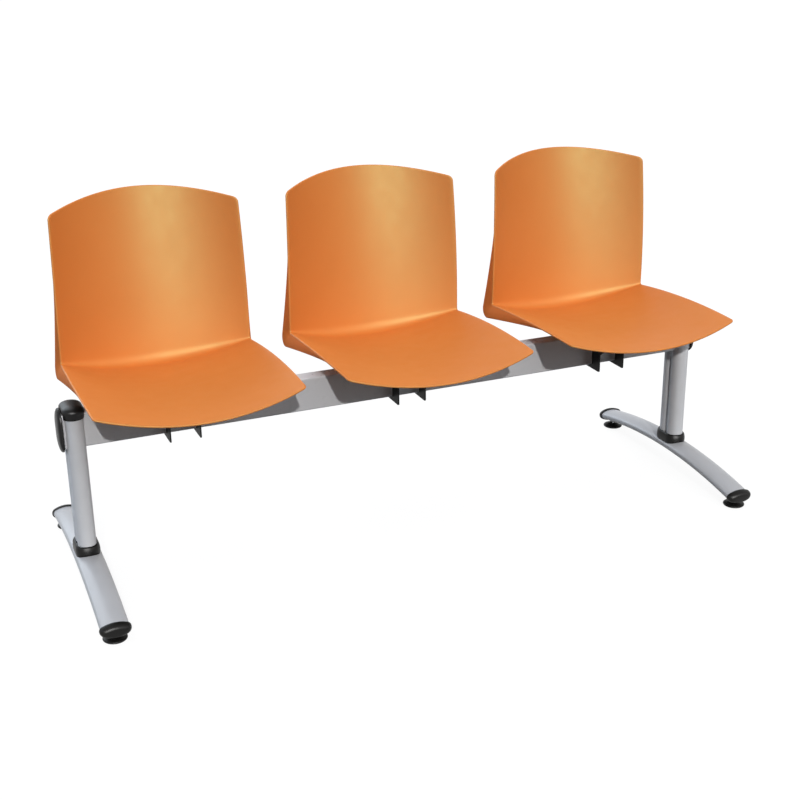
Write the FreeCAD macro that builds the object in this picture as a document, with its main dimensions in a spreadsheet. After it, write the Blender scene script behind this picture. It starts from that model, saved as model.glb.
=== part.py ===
import FreeCAD, Part
import math
import os
import Sketcher

# Three-seat beam bench for waiting rooms: one-piece plastic shells on steel brackets, a steel beam,
# two-lobed posts and arched foot bars that stand on four levelling glides.
# X runs along the beam, +Y points to the back, +Z up. The origin is on the floor below the middle seat.

Vector = FreeCAD.Vector
Rotation = FreeCAD.Rotation
Placement = FreeCAD.Placement

document = FreeCAD.newDocument("beam_bench")
sheet = document.addObject("Spreadsheet::Sheet", "Sizes")

SIZES = [
    ("seat_pitch", 550, "distance between seat centres"),
    ("beam_length", 1622, "length of the steel tube"),
    ("beam_height", 80, "outer height of the tube"),
    ("beam_depth", 40, "outer depth of the tube"),
    ("beam_wall", 2.5, "wall of the tube"),
    ("beam_corner", 4, "outer corner radius of the tube"),
    ("beam_top", 410, "top of the beam above the floor"),
    ("beam_cap_width", 56, "end cap, front to back"),
    ("beam_cap_height", 102, "end cap, top to bottom"),
    ("beam_cap_thickness", 11, "how far the end cap stands out"),
    ("beam_cap_plug", 20, "length of the plug inside the tube"),
    ("fit_gap", 0.2, "clearance between pieces that are pushed together"),
    ("post_inset", 26, "post's centre from the end of the beam"),
    ("lobe_diameter", 42, "diameter of each lobe of the post"),
    ("lobe_spacing", 32, "distance between the lobe centres"),
    ("post_wall", 2.5, "wall of the post"),
    ("post_cap_overhang", 4, "how far the post cap stands out round the post"),
    ("post_cap_skirt", 10, "how far the post cap reaches down beside the beam"),
    ("post_cap_rise", 18, "height of the post cap above the post"),
    ("collar_height", 17, "height of the collar above the foot bar"),
    ("collar_wrap", 8, "how far the collar reaches down round the foot bar"),
    ("collar_overhang", 7, "how far the collar stands out round the post"),
    ("bar_width", 62, "width of the oval foot tube"),
    ("bar_height", 28, "height of the oval foot tube"),
    ("bar_nose", 9, "outer radius of the foot tube's sides"),
    ("bar_wall", 2.5, "wall of the foot tube"),
    ("bar_length", 604, "foot tube, end to end along the floor"),
    ("arch_straight", 92, "straight middle of the foot tube, under the post"),
    ("arch_rise", 31, "rise of the foot tube from its ends to its middle"),
    ("bar_end_height", 30.5, "centre of the foot tube's end above the floor"),
    ("bar_cap_depth", 12, "depth of the end cap outside the tube"),
    ("bar_cap_proud", 1.5, "how far the end cap stands out round the tube"),
    ("bar_cap_plug", 6, "length of the plug inside the foot tube"),
    ("glide_inset", 13, "glide's centre from the end of the foot tube"),
    ("pad_diameter", 53, "diameter of the glide pad"),
    ("pad_height", 6, "height of the glide pad"),
    ("glide_hex_size", 17, "width across flats of the hexagon on the glide"),
    ("glide_lift", 4.5, "room between the hexagon and the nut above it"),
    ("stud_diameter", 8, "threaded stud of the glide"),
    ("stud_reach", 20.5, "how far the stud reaches above the nut's lower face"),
    ("stud_clearance", 0.1, "radial clearance of the stud in its nut"),
    ("nut_size", 17, "width across flats of the nut welded into the foot tube"),
    ("nut_height", 6.5, "height of the welded nut"),
    ("nut_drop", 1, "nut below the underside of the foot tube's end"),
    ("pan_front_width", 457, "seat width at the front corners"),
    ("crease_width", 454, "seat width at the fold"),
    ("back_top_width", 438, "backrest width at the top corners"),
    ("pan_side_bow", 4.2, "outward bow of the seat's sides"),
    ("pan_front_reach", 237, "front corners in front of the beam's centre"),
    ("pan_front_height", 477, "front corners above the floor"),
    ("pan_front_bow", 26, "middle of the front edge in front of its corners"),
    ("pan_front_dip", 35, "middle of the front edge below its corners"),
    ("pan_side_crown", 7.5, "upward bow of the seat's sides"),
    ("pan_middle_crown", 3, "upward bow of the seat's centre line"),
    ("crease_reach", 169.5, "ends of the fold behind the beam's centre"),
    ("crease_height", 461.5, "ends of the fold above the floor"),
    ("crease_hollow", 60, "middle of the fold behind its ends"),
    ("crease_dip", 48, "middle of the fold below its ends"),
    ("fold_middle", 28, "run of the fold's rounding in the middle"),
    ("fold_end", 6, "run of the fold's rounding at its ends"),
    ("back_top_reach", 178.7, "top corners behind the beam's centre"),
    ("back_top_height", 800.3, "top corners above the floor"),
    ("back_hollow", 108, "middle of the top edge behind its corners"),
    ("back_arch", 27.5, "middle of the top edge above its corners"),
    ("back_side_bow", 0.8, "outward bow of the backrest's sides"),
    ("back_lumbar", 5.8, "forward bow of the backrest at half height"),
    ("shell_thickness", 5, "wall of the plastic shell"),
    ("top_corner", 8, "rounding of the top corners"),
    ("front_corner", 7, "rounding of the front corners"),
    ("cheek_thickness", 4, "wall of the cheek that stiffens each side"),
    ("cheek_inset", 0.6, "cheek behind the edge of the shell"),
    ("cheek_depth", 44, "depth of the cheek's heel below the end of the fold"),
    ("cheek_reach", 42, "reach of the cheek's heel behind the end of the fold"),
    ("cheek_flare", 10, "how far the cheek's heel stands out sideways"),
    ("cheek_forward", 300, "how far the cheek runs forward from the fold"),
    ("cheek_upward", 215, "how far the cheek runs up from the fold"),
    ("cheek_round", 15, "rounding of the cheek's heel"),
    ("bracket_width", 72, "outer width of the seat bracket"),
    ("bracket_sheet", 3, "sheet of the seat bracket"),
    ("bracket_length", 210, "length of the bracket's top, front to back"),
    ("bracket_waist", 113, "length of the bracket's sides beside the beam"),
    ("bracket_lip", 13, "height of the bracket's sides at their ends"),
    ("bracket_gusset", 47, "height at which the sides reach their waist"),
    ("bracket_drop", 9.5, "how far the sides reach below the beam"),
    ("bracket_corner", 4, "rounding of the sides' lower corners"),
    ("bracket_bend", 3.5, "outer radius of the bracket's bends"),
    ("clamp_room", 14, "length of the window behind the beam"),
    ("clamp_thickness", 8, "thickness of the clamp bar"),
    ("clamp_height", 30, "height of the clamp bar"),
    ("clamp_length", 92, "length of the clamp bar"),
    ("rail_spacing", 44, "distance between the rails under the shell"),
    ("rail_length", 196, "length of the rails"),
    ("rail_width", 13, "width of the rails"),
]

for row, (alias, value, remark) in enumerate(SIZES, start=1):
    sheet.set(f"A{row}", remark)
    sheet.set(f"B{row}", str(value))
    sheet.setAlias(f"B{row}", alias)
document.recompute()


def size(alias):
    """A size in millimetres, read from the sheet."""
    return float(sheet.get(alias))


def number(expression):
    """The value of an expression that uses the sheet's names."""
    result = sheet.evalExpression(expression)
    return float(getattr(result, "Value", result))


# Expressions that several pieces share
BEAM_MIDDLE = "(Sizes.beam_top - Sizes.beam_height / 2)"
BEAM_BOTTOM = "(Sizes.beam_top - Sizes.beam_height)"
BAR_MIDDLE = "(Sizes.bar_end_height + Sizes.arch_rise)"
ARCH_RADIUS = "(((Sizes.bar_length / 2) ^ 2 + Sizes.arch_rise ^ 2) / (2 * Sizes.arch_rise))"
ARCH_ANGLE = f"(2 * asin(Sizes.bar_length / 2 / {ARCH_RADIUS}))"
BRACKET_TOP = "(Sizes.beam_top + Sizes.bracket_sheet)"
POST_FOOT = f"({BAR_MIDDLE} + Sizes.bar_height / 2 + Sizes.collar_height)"
ARCH_SAG = f"({ARCH_RADIUS} - sqrt({ARCH_RADIUS} ^ 2 - (Sizes.arch_straight / 2) ^ 2))"
BAR_SEAT = f"({BAR_MIDDLE} - {ARCH_SAG})"
BAR_FLAT = (
    "(((Sizes.bar_width / 2 - Sizes.bar_nose) ^ 2 + (Sizes.bar_height / 2) ^ 2 - Sizes.bar_nose ^ 2)"
    " / (Sizes.bar_height - 2 * Sizes.bar_nose))"
)
LEG_PLACE = "(Sizes.beam_length / 2 - Sizes.post_inset)"
GLIDE_PLACE = "(Sizes.bar_length / 2 - Sizes.glide_inset)"
NUT_FOOT = "(Sizes.bar_end_height - Sizes.bar_height / 2 - Sizes.nut_drop)"

# How finely the curved pieces are divided
BAR_RUN_COUNT = 2
SEAT_STRIP_COUNT = 6
FOLD_STRIP_COUNT = 2
BACK_STRIP_COUNT = 6
FLAT_COUNT = 12
CHEEK_RUN_COUNT = 4
PAD_SIDE_COUNT = 24
STUD_SIDE_COUNT = 12
HEXAGON_SIDE_COUNT = 6

# How deep the cheek's edge and tips lie in the shell's wall, and how far its curves run straight on
CHEEK_SINK = 0.7
CHEEK_TIP_SINK = 0.2
CHEEK_RUN_ON = 0.25
# How deep the rails reach into the shell's wall
RAIL_SINK = 0.5

NEARNESS = 0.01
HALVING_COUNT = 30
SIDES = {"left": -1, "right": 1}
SEATS = {"left": -1, "middle": 0, "right": 1}
ENDS = {"front": -1, "rear": 1}


# Sketch helpers

def body_plane(body, role):
    return next(item for item in body.Origin.OriginFeatures if item.Role == role)


def new_sketch(body, name, role, offset=None):
    """A sketch on one of the body's own origin planes, moved along its normal by an expression."""
    sketch = body.newObject("Sketcher::SketchObject", name)
    sketch.AttachmentSupport = [(body_plane(body, role), "")]
    sketch.MapMode = "FlatFace"
    if offset:
        sketch.AttachmentOffset = Placement(Vector(0, 0, number(offset)), Rotation())
        sketch.setExpression("AttachmentOffset.Base.z", offset)
    return sketch


def drive(sketch, name, constraint, expression):
    """Add a dimension and bind it to the sheet."""
    index = sketch.addConstraint(constraint)
    sketch.renameConstraint(index, name)
    sketch.setExpression(f"Constraints.{name}", expression)


def locate(sketch, name, geometry, point, across, up):
    """Hold a point at (across, up) from the sketch's origin; "0" puts it on the axis."""
    if across == "0":
        sketch.addConstraint(Sketcher.Constraint("PointOnObject", geometry, point, -2))
    else:
        constraint = Sketcher.Constraint("DistanceX", -1, 1, geometry, point, number(across))
        drive(sketch, name + "_across", constraint, across)
    if up == "0":
        sketch.addConstraint(Sketcher.Constraint("PointOnObject", geometry, point, -1))
    else:
        constraint = Sketcher.Constraint("DistanceY", -1, 1, geometry, point, number(up))
        drive(sketch, name + "_up", constraint, up)


def rectangle(sketch, name, wide, tall, across="0", up="0"):
    """A rectangle centred on (across, up)."""
    x, y = number(across), number(up)
    half_wide, half_tall = number(wide) / 2, number(tall) / 2
    corners = [
        Vector(x - half_wide, y - half_tall, 0),
        Vector(x + half_wide, y - half_tall, 0),
        Vector(x + half_wide, y + half_tall, 0),
        Vector(x - half_wide, y + half_tall, 0),
    ]
    first = closed_outline(sketch, corners)
    for side in (0, 2):
        sketch.addConstraint(Sketcher.Constraint("Horizontal", first + side))
        sketch.addConstraint(Sketcher.Constraint("Vertical", first + side + 1))
    centre = sketch.addGeometry(Part.Point(Vector(x, y, 0)), True)
    sketch.addConstraint(Sketcher.Constraint("Symmetric", first, 1, first + 2, 1, centre, 1))
    across_side = Sketcher.Constraint("DistanceX", first, 1, first, 2, 2 * half_wide)
    upright_side = Sketcher.Constraint("DistanceY", first + 1, 1, first + 1, 2, 2 * half_tall)
    drive(sketch, name + "_wide", across_side, wide)
    drive(sketch, name + "_tall", upright_side, tall)
    locate(sketch, name, centre, 1, across, up)


def closed_outline(sketch, corners):
    """Straight lines round the corners, joined end to end; returns the first line's number."""
    first = sketch.GeometryCount
    for start, end in zip(corners, corners[1:] + corners[:1]):
        sketch.addGeometry(Part.LineSegment(start, end), False)
    count = len(corners)
    for side in range(count):
        following = first + (side + 1) % count
        sketch.addConstraint(Sketcher.Constraint("Coincident", first + side, 2, following, 1))
    return first


def outline(sketch, name, corners):
    """A closed outline of straight lines whose corners are pairs of expressions."""
    points = [Vector(number(across), number(up), 0) for across, up in corners]
    first = closed_outline(sketch, points)
    for corner, (across, up) in enumerate(corners):
        locate(sketch, f"{name}_{corner}", first + corner, 1, across, up)


def circle(sketch, name, diameter, across="0", up="0"):
    centre = Vector(number(across), number(up), 0)
    index = sketch.addGeometry(Part.Circle(centre, Vector(0, 0, 1), number(diameter) / 2), False)
    drive(sketch, name + "_diameter", Sketcher.Constraint("Diameter", index, number(diameter)), diameter)
    locate(sketch, name, index, 3, across, up)


def oval(sketch, name, grow):
    """The foot tube's oval of four tangent arcs, larger all round by an expression."""
    wide = "(Sizes.bar_width / 2 - Sizes.bar_nose)"
    nose, flat = f"(Sizes.bar_nose + {grow})", f"({BAR_FLAT} + {grow})"
    reach, drop = number(wide), number(f"{BAR_FLAT} - Sizes.bar_height / 2")
    turn = Vector(0, 0, 1)
    slope = math.atan2(drop, reach)
    arcs = [
        (Vector(reach, 0, 0), number(nose), -slope, slope),
        (Vector(0, -drop, 0), number(flat), slope, math.pi - slope),
        (Vector(-reach, 0, 0), number(nose), math.pi - slope, math.pi + slope),
        (Vector(0, drop, 0), number(flat), math.pi + slope, 2 * math.pi - slope),
    ]
    first = sketch.GeometryCount
    for centre, radius, start, end in arcs:
        sketch.addGeometry(Part.ArcOfCircle(Part.Circle(centre, turn, radius), start, end), False)
    for arc in range(4):
        following = first + (arc + 1) % 4
        sketch.addConstraint(Sketcher.Constraint("Tangent", first + arc, 2, following, 1))
    sketch.addConstraint(Sketcher.Constraint("PointOnObject", first, 3, -1))
    sketch.addConstraint(Sketcher.Constraint("Symmetric", first, 3, first + 2, 3, -1, 1))
    sketch.addConstraint(Sketcher.Constraint("Equal", first, first + 2))
    sketch.addConstraint(Sketcher.Constraint("Equal", first + 1, first + 3))
    drive(sketch, name + "_nose", Sketcher.Constraint("Radius", first, number(nose)), nose)
    drive(sketch, name + "_flat", Sketcher.Constraint("Radius", first + 1, number(flat)), flat)
    spread = Sketcher.Constraint("DistanceX", first + 2, 3, first, 3, 2 * reach)
    drive(sketch, name + "_spread", spread, f"2 * {wide}")


def end_arcs(sketch, name, radius, spacing, half_opening):
    """Two equal arcs above and below the sketch's origin; returns the upper arc's number."""
    reach, half = number(radius), number(spacing) / 2
    turn = Vector(0, 0, 1)
    upper = Part.Circle(Vector(0, half, 0), turn, reach)
    lower = Part.Circle(Vector(0, -half, 0), turn, reach)
    upper_arc = Part.ArcOfCircle(upper, -half_opening, math.pi + half_opening)
    lower_arc = Part.ArcOfCircle(lower, math.pi - half_opening, 2 * math.pi + half_opening)
    first = sketch.addGeometry(upper_arc, False)
    second = sketch.addGeometry(lower_arc, False)
    sketch.addConstraint(Sketcher.Constraint("PointOnObject", first, 3, -2))
    sketch.addConstraint(Sketcher.Constraint("Symmetric", first, 3, second, 3, -1, 1))
    sketch.addConstraint(Sketcher.Constraint("Equal", first, second))
    drive(sketch, name + "_radius", Sketcher.Constraint("Radius", first, reach), radius)
    drive(sketch, name + "_spacing", Sketcher.Constraint("DistanceY", second, 3, first, 3, 2 * half), spacing)
    return first


def stadium(sketch, name, radius, spacing):
    """Two half circles joined by straight sides."""
    first = end_arcs(sketch, name, radius, spacing, 0)
    reach, half = number(radius), number(spacing) / 2
    for side, upper_end, lower_end in ((1, 1, 2), (-1, 2, 1)):
        line = Part.LineSegment(Vector(side * reach, -half, 0), Vector(side * reach, half, 0))
        index = sketch.addGeometry(line, False)
        sketch.addConstraint(Sketcher.Constraint("Tangent", index, 2, first, upper_end))
        sketch.addConstraint(Sketcher.Constraint("Tangent", index, 1, first + 1, lower_end))


def two_lobes(sketch, name, radius, spacing):
    """Two circles that overlap in a waist, without the parts inside each other."""
    waist = math.asin(number(spacing) / 2 / number(radius))
    first = end_arcs(sketch, name, radius, spacing, waist)
    sketch.addConstraint(Sketcher.Constraint("Coincident", first, 1, first + 1, 2))
    sketch.addConstraint(Sketcher.Constraint("Coincident", first, 2, first + 1, 1))


# Feature helpers

def new_body(label):
    body = document.addObject("PartDesign::Body", label)
    body.Label = label
    return body


def place(piece, x="0", y="0", z="0", turn=None):
    """Put a piece at a place given by expressions, after an optional turn."""
    piece.Placement = Placement(Vector(number(x), number(y), number(z)), turn or Rotation())
    for axis, expression in (("x", x), ("y", y), ("z", z)):
        if expression != "0":
            piece.setExpression(f"Placement.Base.{axis}", expression)


def pad(body, sketch, length, symmetric=False, reverse=False):
    feature = body.newObject("PartDesign::Pad", sketch.Name + "_pad")
    feature.Profile = sketch
    feature.setExpression("Length", length)
    feature.SideType = "Symmetric" if symmetric else "One side"
    feature.Reversed = reverse
    document.recompute()
    return feature


def pocket(body, sketch, length=None, reverse=False):
    """Cut a sketch out of the body: right through both ways, or one way for a length."""
    before = body.Shape.Volume
    feature = body.newObject("PartDesign::Pocket", sketch.Name + "_pocket")
    feature.Profile = sketch
    if length:
        feature.setExpression("Length", length)
        feature.Reversed = reverse
    else:
        feature.Type = "ThroughAll"
        feature.SideType = "Symmetric"
    document.recompute()
    if body.Shape.Volume > before - 1:
        raise RuntimeError(f"{feature.Name} cuts nothing")
    return feature


def fillet(body, name, radius, wanted):
    """Round the edges of the body's tip that the test picks."""
    tip = body.Tip
    edges = [f"Edge{number + 1}" for number, edge in enumerate(tip.Shape.Edges) if wanted(edge)]
    feature = body.newObject("PartDesign::Fillet", name)
    feature.Base = (tip, edges)
    feature.setExpression("Radius", radius)
    document.recompute()
    return feature


def runs_along(edge, axis):
    """Whether an edge is a straight line along an axis."""
    if not isinstance(edge.Curve, Part.Line):
        return False
    return edge.tangentAt(edge.FirstParameter).cross(axis).Length < NEARNESS


def lies_at(edge, axis, height):
    """Whether all of an edge lies at one height along an axis."""
    box = edge.BoundBox
    low, high = {"x": (box.XMin, box.XMax), "z": (box.ZMin, box.ZMax)}[axis]
    return abs(low - height) < NEARNESS and abs(high - height) < NEARNESS


# Beam

def make_beam():
    body = new_body("beam")
    section = new_sketch(body, "beam_section", "YZ_Plane")
    rectangle(section, "outside", "Sizes.beam_depth", "Sizes.beam_height")
    pad(body, section, "Sizes.beam_length", symmetric=True)
    along = Vector(1, 0, 0)
    fillet(body, "beam_corners", "Sizes.beam_corner", lambda edge: runs_along(edge, along))
    hollow = new_sketch(body, "beam_hollow", "YZ_Plane")
    both_walls = "2 * Sizes.beam_wall"
    rectangle(hollow, "inside", f"Sizes.beam_depth - {both_walls}", f"Sizes.beam_height - {both_walls}")
    pocket(body, hollow)
    place(body, z=BEAM_MIDDLE)


def make_beam_cap(side, sign):
    body = new_body(f"beam_end_cap_{side}")
    face = new_sketch(body, f"beam_cap_face_{side}", "YZ_Plane")
    stadium(face, "face", "Sizes.beam_cap_width / 2", "Sizes.beam_cap_height - Sizes.beam_cap_width")
    pad(body, face, "Sizes.beam_cap_thickness")
    plug = new_sketch(body, f"beam_cap_plug_{side}", "YZ_Plane")
    inside = "2 * Sizes.beam_wall - 2 * Sizes.fit_gap"
    rectangle(plug, "plug", f"Sizes.beam_depth - {inside}", f"Sizes.beam_height - {inside}")
    pad(body, plug, "Sizes.beam_cap_plug", reverse=True)
    hollow = new_sketch(body, f"beam_cap_hollow_{side}", "YZ_Plane", "-Sizes.beam_cap_plug")
    less = "5 * Sizes.beam_wall"
    rectangle(hollow, "hollow", f"Sizes.beam_depth - {less}", f"Sizes.beam_height - {less}")
    pocket(body, hollow, "Sizes.beam_cap_plug", reverse=True)
    turn = Rotation(Vector(0, 0, 1), 0 if sign > 0 else 180)
    place(body, f"{sign} * Sizes.beam_length / 2", "0", BEAM_MIDDLE, turn)


# Foot bars

def bar_stations():
    """Where the foot tube's straight runs meet: pairs of expressions for y and the tilt in degrees.

    The middle run is level and carries the post; the others are chords of the arch.
    """
    turn = f"({ARCH_ANGLE} / 2)"
    middle = "(Sizes.arch_straight / 2)"
    first = f"asin({middle} / {ARCH_RADIUS})"
    stations = []
    for way in (-1, 1):
        for step in range(BAR_RUN_COUNT + 1):
            angle = f"({first} + ({turn} - {first}) * {step} / {BAR_RUN_COUNT})"
            stations.append((way, angle))
    return sorted(stations, key=lambda station: station[0] * (1 + number(station[1])))


def end_lean():
    """Expression for the lean of the foot tube's end runs, in degrees."""
    (_, outer), (_, inner) = bar_stations()[:2]
    return f"(({outer} + {inner}) / 2)"


def make_arch_path(body, side):
    """The foot tube's centre line: a level run under the post between chords of the arch."""
    path = new_sketch(body, f"bar_path_{side}", "YZ_Plane")
    corners = [
        (f"({ARCH_RADIUS} * sin({angle}) * {way})", f"({ARCH_RADIUS} * (cos({angle}) - 1))")
        for way, angle in bar_stations()
    ]
    places = [Vector(number(across), number(up), 0) for across, up in corners]
    for run, (start, end) in enumerate(zip(places, places[1:])):
        path.addGeometry(Part.LineSegment(start, end), False)
        if run:
            path.addConstraint(Sketcher.Constraint("Coincident", run - 1, 2, run, 1))
        locate(path, f"station_{run}", run, 1, *corners[run])
    locate(path, "last_station", len(places) - 2, 2, *corners[-1])
    return path


def make_foot_bar(side, sign):
    """The tube with a welded nut for each glide."""
    body = new_body(f"foot_bar_{side}")
    path = make_arch_path(body, side)
    section = new_sketch(body, f"bar_section_{side}", "XZ_Plane")
    oval(section, "outside", "0")
    oval(section, "inside", "-Sizes.bar_wall")
    lean = end_lean()
    section.AttachmentOffset = Placement(
        Vector(0, number("-Sizes.arch_rise"), number("Sizes.bar_length / 2")),
        Rotation(Vector(1, 0, 0), number(lean)),
    )
    section.setExpression("AttachmentOffset.Base.y", "-Sizes.arch_rise")
    section.setExpression("AttachmentOffset.Base.z", "Sizes.bar_length / 2")
    section.setExpression("AttachmentOffset.Rotation.Axis.x", "1")
    section.setExpression("AttachmentOffset.Rotation.Axis.z", "0")
    section.setExpression("AttachmentOffset.Rotation.Angle", lean)
    tube = body.newObject("PartDesign::AdditivePipe", f"bar_tube_{side}")
    tube.Profile = section
    tube.Spine = (path, [])
    tube.Transition = "Right corner"
    document.recompute()
    foot = f"{NUT_FOOT} - {BAR_MIDDLE}"
    for end, way in ENDS.items():
        nut = body.newObject("PartDesign::AdditivePrism", f"glide_nut_{end}_{side}")
        nut.Polygon = HEXAGON_SIDE_COUNT
        nut.AttachmentSupport = [(body_plane(body, "XY_Plane"), "")]
        nut.MapMode = "FlatFace"
        nut.setExpression("Circumradius", "Sizes.nut_size / sqrt(3)")
        nut.setExpression("Height", "Sizes.nut_height")
        nut.setExpression("AttachmentOffset.Base.y", f"{way} * {GLIDE_PLACE}")
        nut.setExpression("AttachmentOffset.Base.z", foot)
    document.recompute()
    bores = new_sketch(body, f"glide_bores_{side}", "XY_Plane", foot)
    for end, way in ENDS.items():
        circle(bores, end, "Sizes.stud_diameter + 2 * Sizes.stud_clearance", "0", f"{way} * {GLIDE_PLACE}")
    pocket(body, bores, "Sizes.nut_height", reverse=True)
    place(body, f"{sign} * {LEG_PLACE}", "0", BAR_MIDDLE)


def make_foot_cap(end, way, side, sign):
    body = new_body(f"foot_cap_{end}_{side}")
    tag = f"{end}_{side}"
    face = new_sketch(body, f"foot_cap_face_{tag}", "XY_Plane")
    oval(face, "face", "Sizes.bar_cap_proud")
    pad(body, face, "Sizes.bar_cap_depth")
    plug = new_sketch(body, f"foot_cap_plug_{tag}", "XY_Plane")
    inside = "(Sizes.bar_height - 2 * Sizes.bar_wall)"
    rectangle(plug, "plug", "Sizes.bar_width / 2", f"{inside} - Sizes.bar_nose / 2 - 2 * Sizes.fit_gap")
    pad(body, plug, "Sizes.bar_cap_plug", reverse=True)
    turn = Rotation(Vector(1, 0, 0), -way * (90 + number(end_lean())))
    place(body, f"{sign} * {LEG_PLACE}", f"{way} * Sizes.bar_length / 2", "Sizes.bar_end_height", turn)


def make_glide(end, way, side, sign):
    """A levelling glide: a pad with a spanner hexagon, moulded on a threaded stud."""
    tag = f"{end}_{side}"
    body = new_body(f"glide_{tag}")
    for name, radius, top, count in (
        ("pad", "Sizes.pad_diameter / 2", "Sizes.pad_height", PAD_SIDE_COUNT),
        ("hexagon", "Sizes.glide_hex_size / sqrt(3)", f"{NUT_FOOT} - Sizes.glide_lift", HEXAGON_SIDE_COUNT),
        ("stud", "Sizes.stud_diameter / 2", f"{NUT_FOOT} + Sizes.stud_reach", STUD_SIDE_COUNT),
    ):
        prism = body.newObject("PartDesign::AdditivePrism", f"glide_{name}_{tag}")
        prism.Polygon = count
        prism.setExpression("Circumradius", radius)
        prism.setExpression("Height", top)
    document.recompute()
    place(body, f"{sign} * {LEG_PLACE}", f"{way} * {GLIDE_PLACE}")


# Posts

def make_post(side, sign):
    """A two-lobed tube that stands on its collar, with a slot for the beam in its upper end."""
    body = new_body(f"leg_post_{side}")
    section = new_sketch(body, f"post_section_{side}", "XY_Plane", POST_FOOT)
    two_lobes(section, "outside", "Sizes.lobe_diameter / 2", "Sizes.lobe_spacing")
    two_lobes(section, "inside", "Sizes.lobe_diameter / 2 - Sizes.post_wall", "Sizes.lobe_spacing")
    pad(body, section, f"Sizes.beam_top - Sizes.post_cap_skirt - {POST_FOOT}")
    slot = new_sketch(body, f"post_slot_{side}", "YZ_Plane")
    wide = "Sizes.beam_depth + 2 * Sizes.fit_gap"
    rectangle(slot, "slot", wide, "2 * Sizes.beam_height", "0", "Sizes.beam_top")
    pocket(body, slot)
    place(body, f"{sign} * {LEG_PLACE}")


def make_post_cap(side, sign):
    """An oval cap that closes the post and straddles the beam."""
    body = new_body(f"post_cap_{side}")
    face = new_sketch(body, f"post_cap_face_{side}", "XY_Plane", "-Sizes.post_cap_skirt")
    stadium(face, "face", "Sizes.lobe_diameter / 2 + Sizes.post_cap_overhang", "Sizes.lobe_spacing")
    pad(body, face, "Sizes.post_cap_skirt + Sizes.post_cap_rise")
    slot = new_sketch(body, f"post_cap_slot_{side}", "YZ_Plane")
    rectangle(slot, "slot", "Sizes.beam_depth + 2 * Sizes.fit_gap", "2 * Sizes.post_cap_skirt")
    pocket(body, slot)
    place(body, f"{sign} * {LEG_PLACE}", "0", "Sizes.beam_top")


def make_collar(side, sign):
    """An oval foot, hollowed below to sit on the foot bar, that carries the post."""
    body = new_body(f"post_collar_{side}")
    low = f"({BAR_MIDDLE} + Sizes.bar_height / 2 - Sizes.collar_wrap)"
    foot = new_sketch(body, f"collar_foot_{side}", "XY_Plane", low)
    stadium(foot, "foot", "Sizes.lobe_diameter / 2 + Sizes.collar_overhang", "Sizes.lobe_spacing")
    pad(body, foot, f"{POST_FOOT} - {low}")
    saddle = new_sketch(body, f"collar_saddle_{side}", "XZ_Plane")
    oval(saddle, "saddle", "0")
    saddle.AttachmentOffset = Placement(Vector(0, number(BAR_SEAT), 0), Rotation())
    saddle.setExpression("AttachmentOffset.Base.y", BAR_SEAT)
    pocket(body, saddle)
    place(body, f"{sign} * {LEG_PLACE}")


# Seat brackets

def make_bracket(name, offset):
    seat_x = f"{offset} * Sizes.seat_pitch"
    body = new_body(f"seat_bracket_{name}")
    side_view = new_sketch(body, f"bracket_side_{name}", "YZ_Plane")
    reach = "(Sizes.bracket_length / 2)"
    waist = "(Sizes.bracket_waist / 2)"
    lip = f"({BRACKET_TOP} - Sizes.bracket_lip)"
    gusset = f"({BRACKET_TOP} - Sizes.bracket_gusset)"
    bottom = f"({BEAM_BOTTOM} - Sizes.bracket_drop)"
    outline(side_view, "side", [
        (f"-{waist}", bottom),
        (waist, bottom),
        (waist, gusset),
        (reach, lip),
        (reach, BRACKET_TOP),
        (f"-{reach}", BRACKET_TOP),
        (f"-{reach}", lip),
        (f"-{waist}", gusset),
    ])
    pad(body, side_view, "Sizes.bracket_width", symmetric=True)
    fillet(
        body, f"bracket_lower_corners_{name}", "Sizes.bracket_corner",
        lambda edge: runs_along(edge, Vector(1, 0, 0)) and lies_at(edge, "z", number(bottom)),
    )
    fillet(
        body, f"bracket_bends_{name}", "Sizes.bracket_bend",
        lambda edge: runs_along(edge, Vector(0, 1, 0)) and lies_at(edge, "z", number(BRACKET_TOP)),
    )
    inside = new_sketch(body, f"bracket_inside_{name}", "XZ_Plane")
    wide = "Sizes.bracket_width - 2 * Sizes.bracket_sheet"
    rectangle(inside, "inside", wide, "2 * Sizes.beam_top", "0", "0")
    pocket(body, inside)
    window = new_sketch(body, f"bracket_window_{name}", "YZ_Plane")
    length = "(Sizes.beam_depth + Sizes.fit_gap + Sizes.clamp_room)"
    tall = "Sizes.beam_height + Sizes.fit_gap"
    centre = "(Sizes.clamp_room - Sizes.fit_gap) / 2"
    rectangle(window, "window", length, tall, centre, f"{BEAM_MIDDLE} - Sizes.fit_gap / 2")
    pocket(body, window)
    place(body, seat_x)


def make_clamp(name, offset):
    """A bar that closes the bracket's windows behind the beam."""
    seat_x = f"{offset} * Sizes.seat_pitch"
    rear = "(Sizes.beam_depth / 2 + Sizes.clamp_room)"
    body = new_body(f"clamp_bar_{name}")
    face = new_sketch(body, f"clamp_face_{name}", "XZ_Plane")
    rectangle(face, "bar", "Sizes.clamp_length", "Sizes.clamp_height")
    pad(body, face, "Sizes.clamp_thickness")
    place(body, seat_x, rear, BEAM_MIDDLE)


# Seat shells

def face_half(width, hollow):
    """Half width of the seat's face where its underside reaches the given width."""
    slope = math.atan(4 * hollow / width)
    return width / 2 - size("shell_thickness") * math.sin(slope)


def quadratic(first, middle, last, share):
    """A value on a quadratic curve with these three control values."""
    return first * (1 - share) ** 2 + middle * (2 * share * (1 - share)) + last * share ** 2


def quadratic_slope(first, middle, last, share):
    return (middle - first) * (2 * (1 - share)) + (last - middle) * (2 * share)


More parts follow.
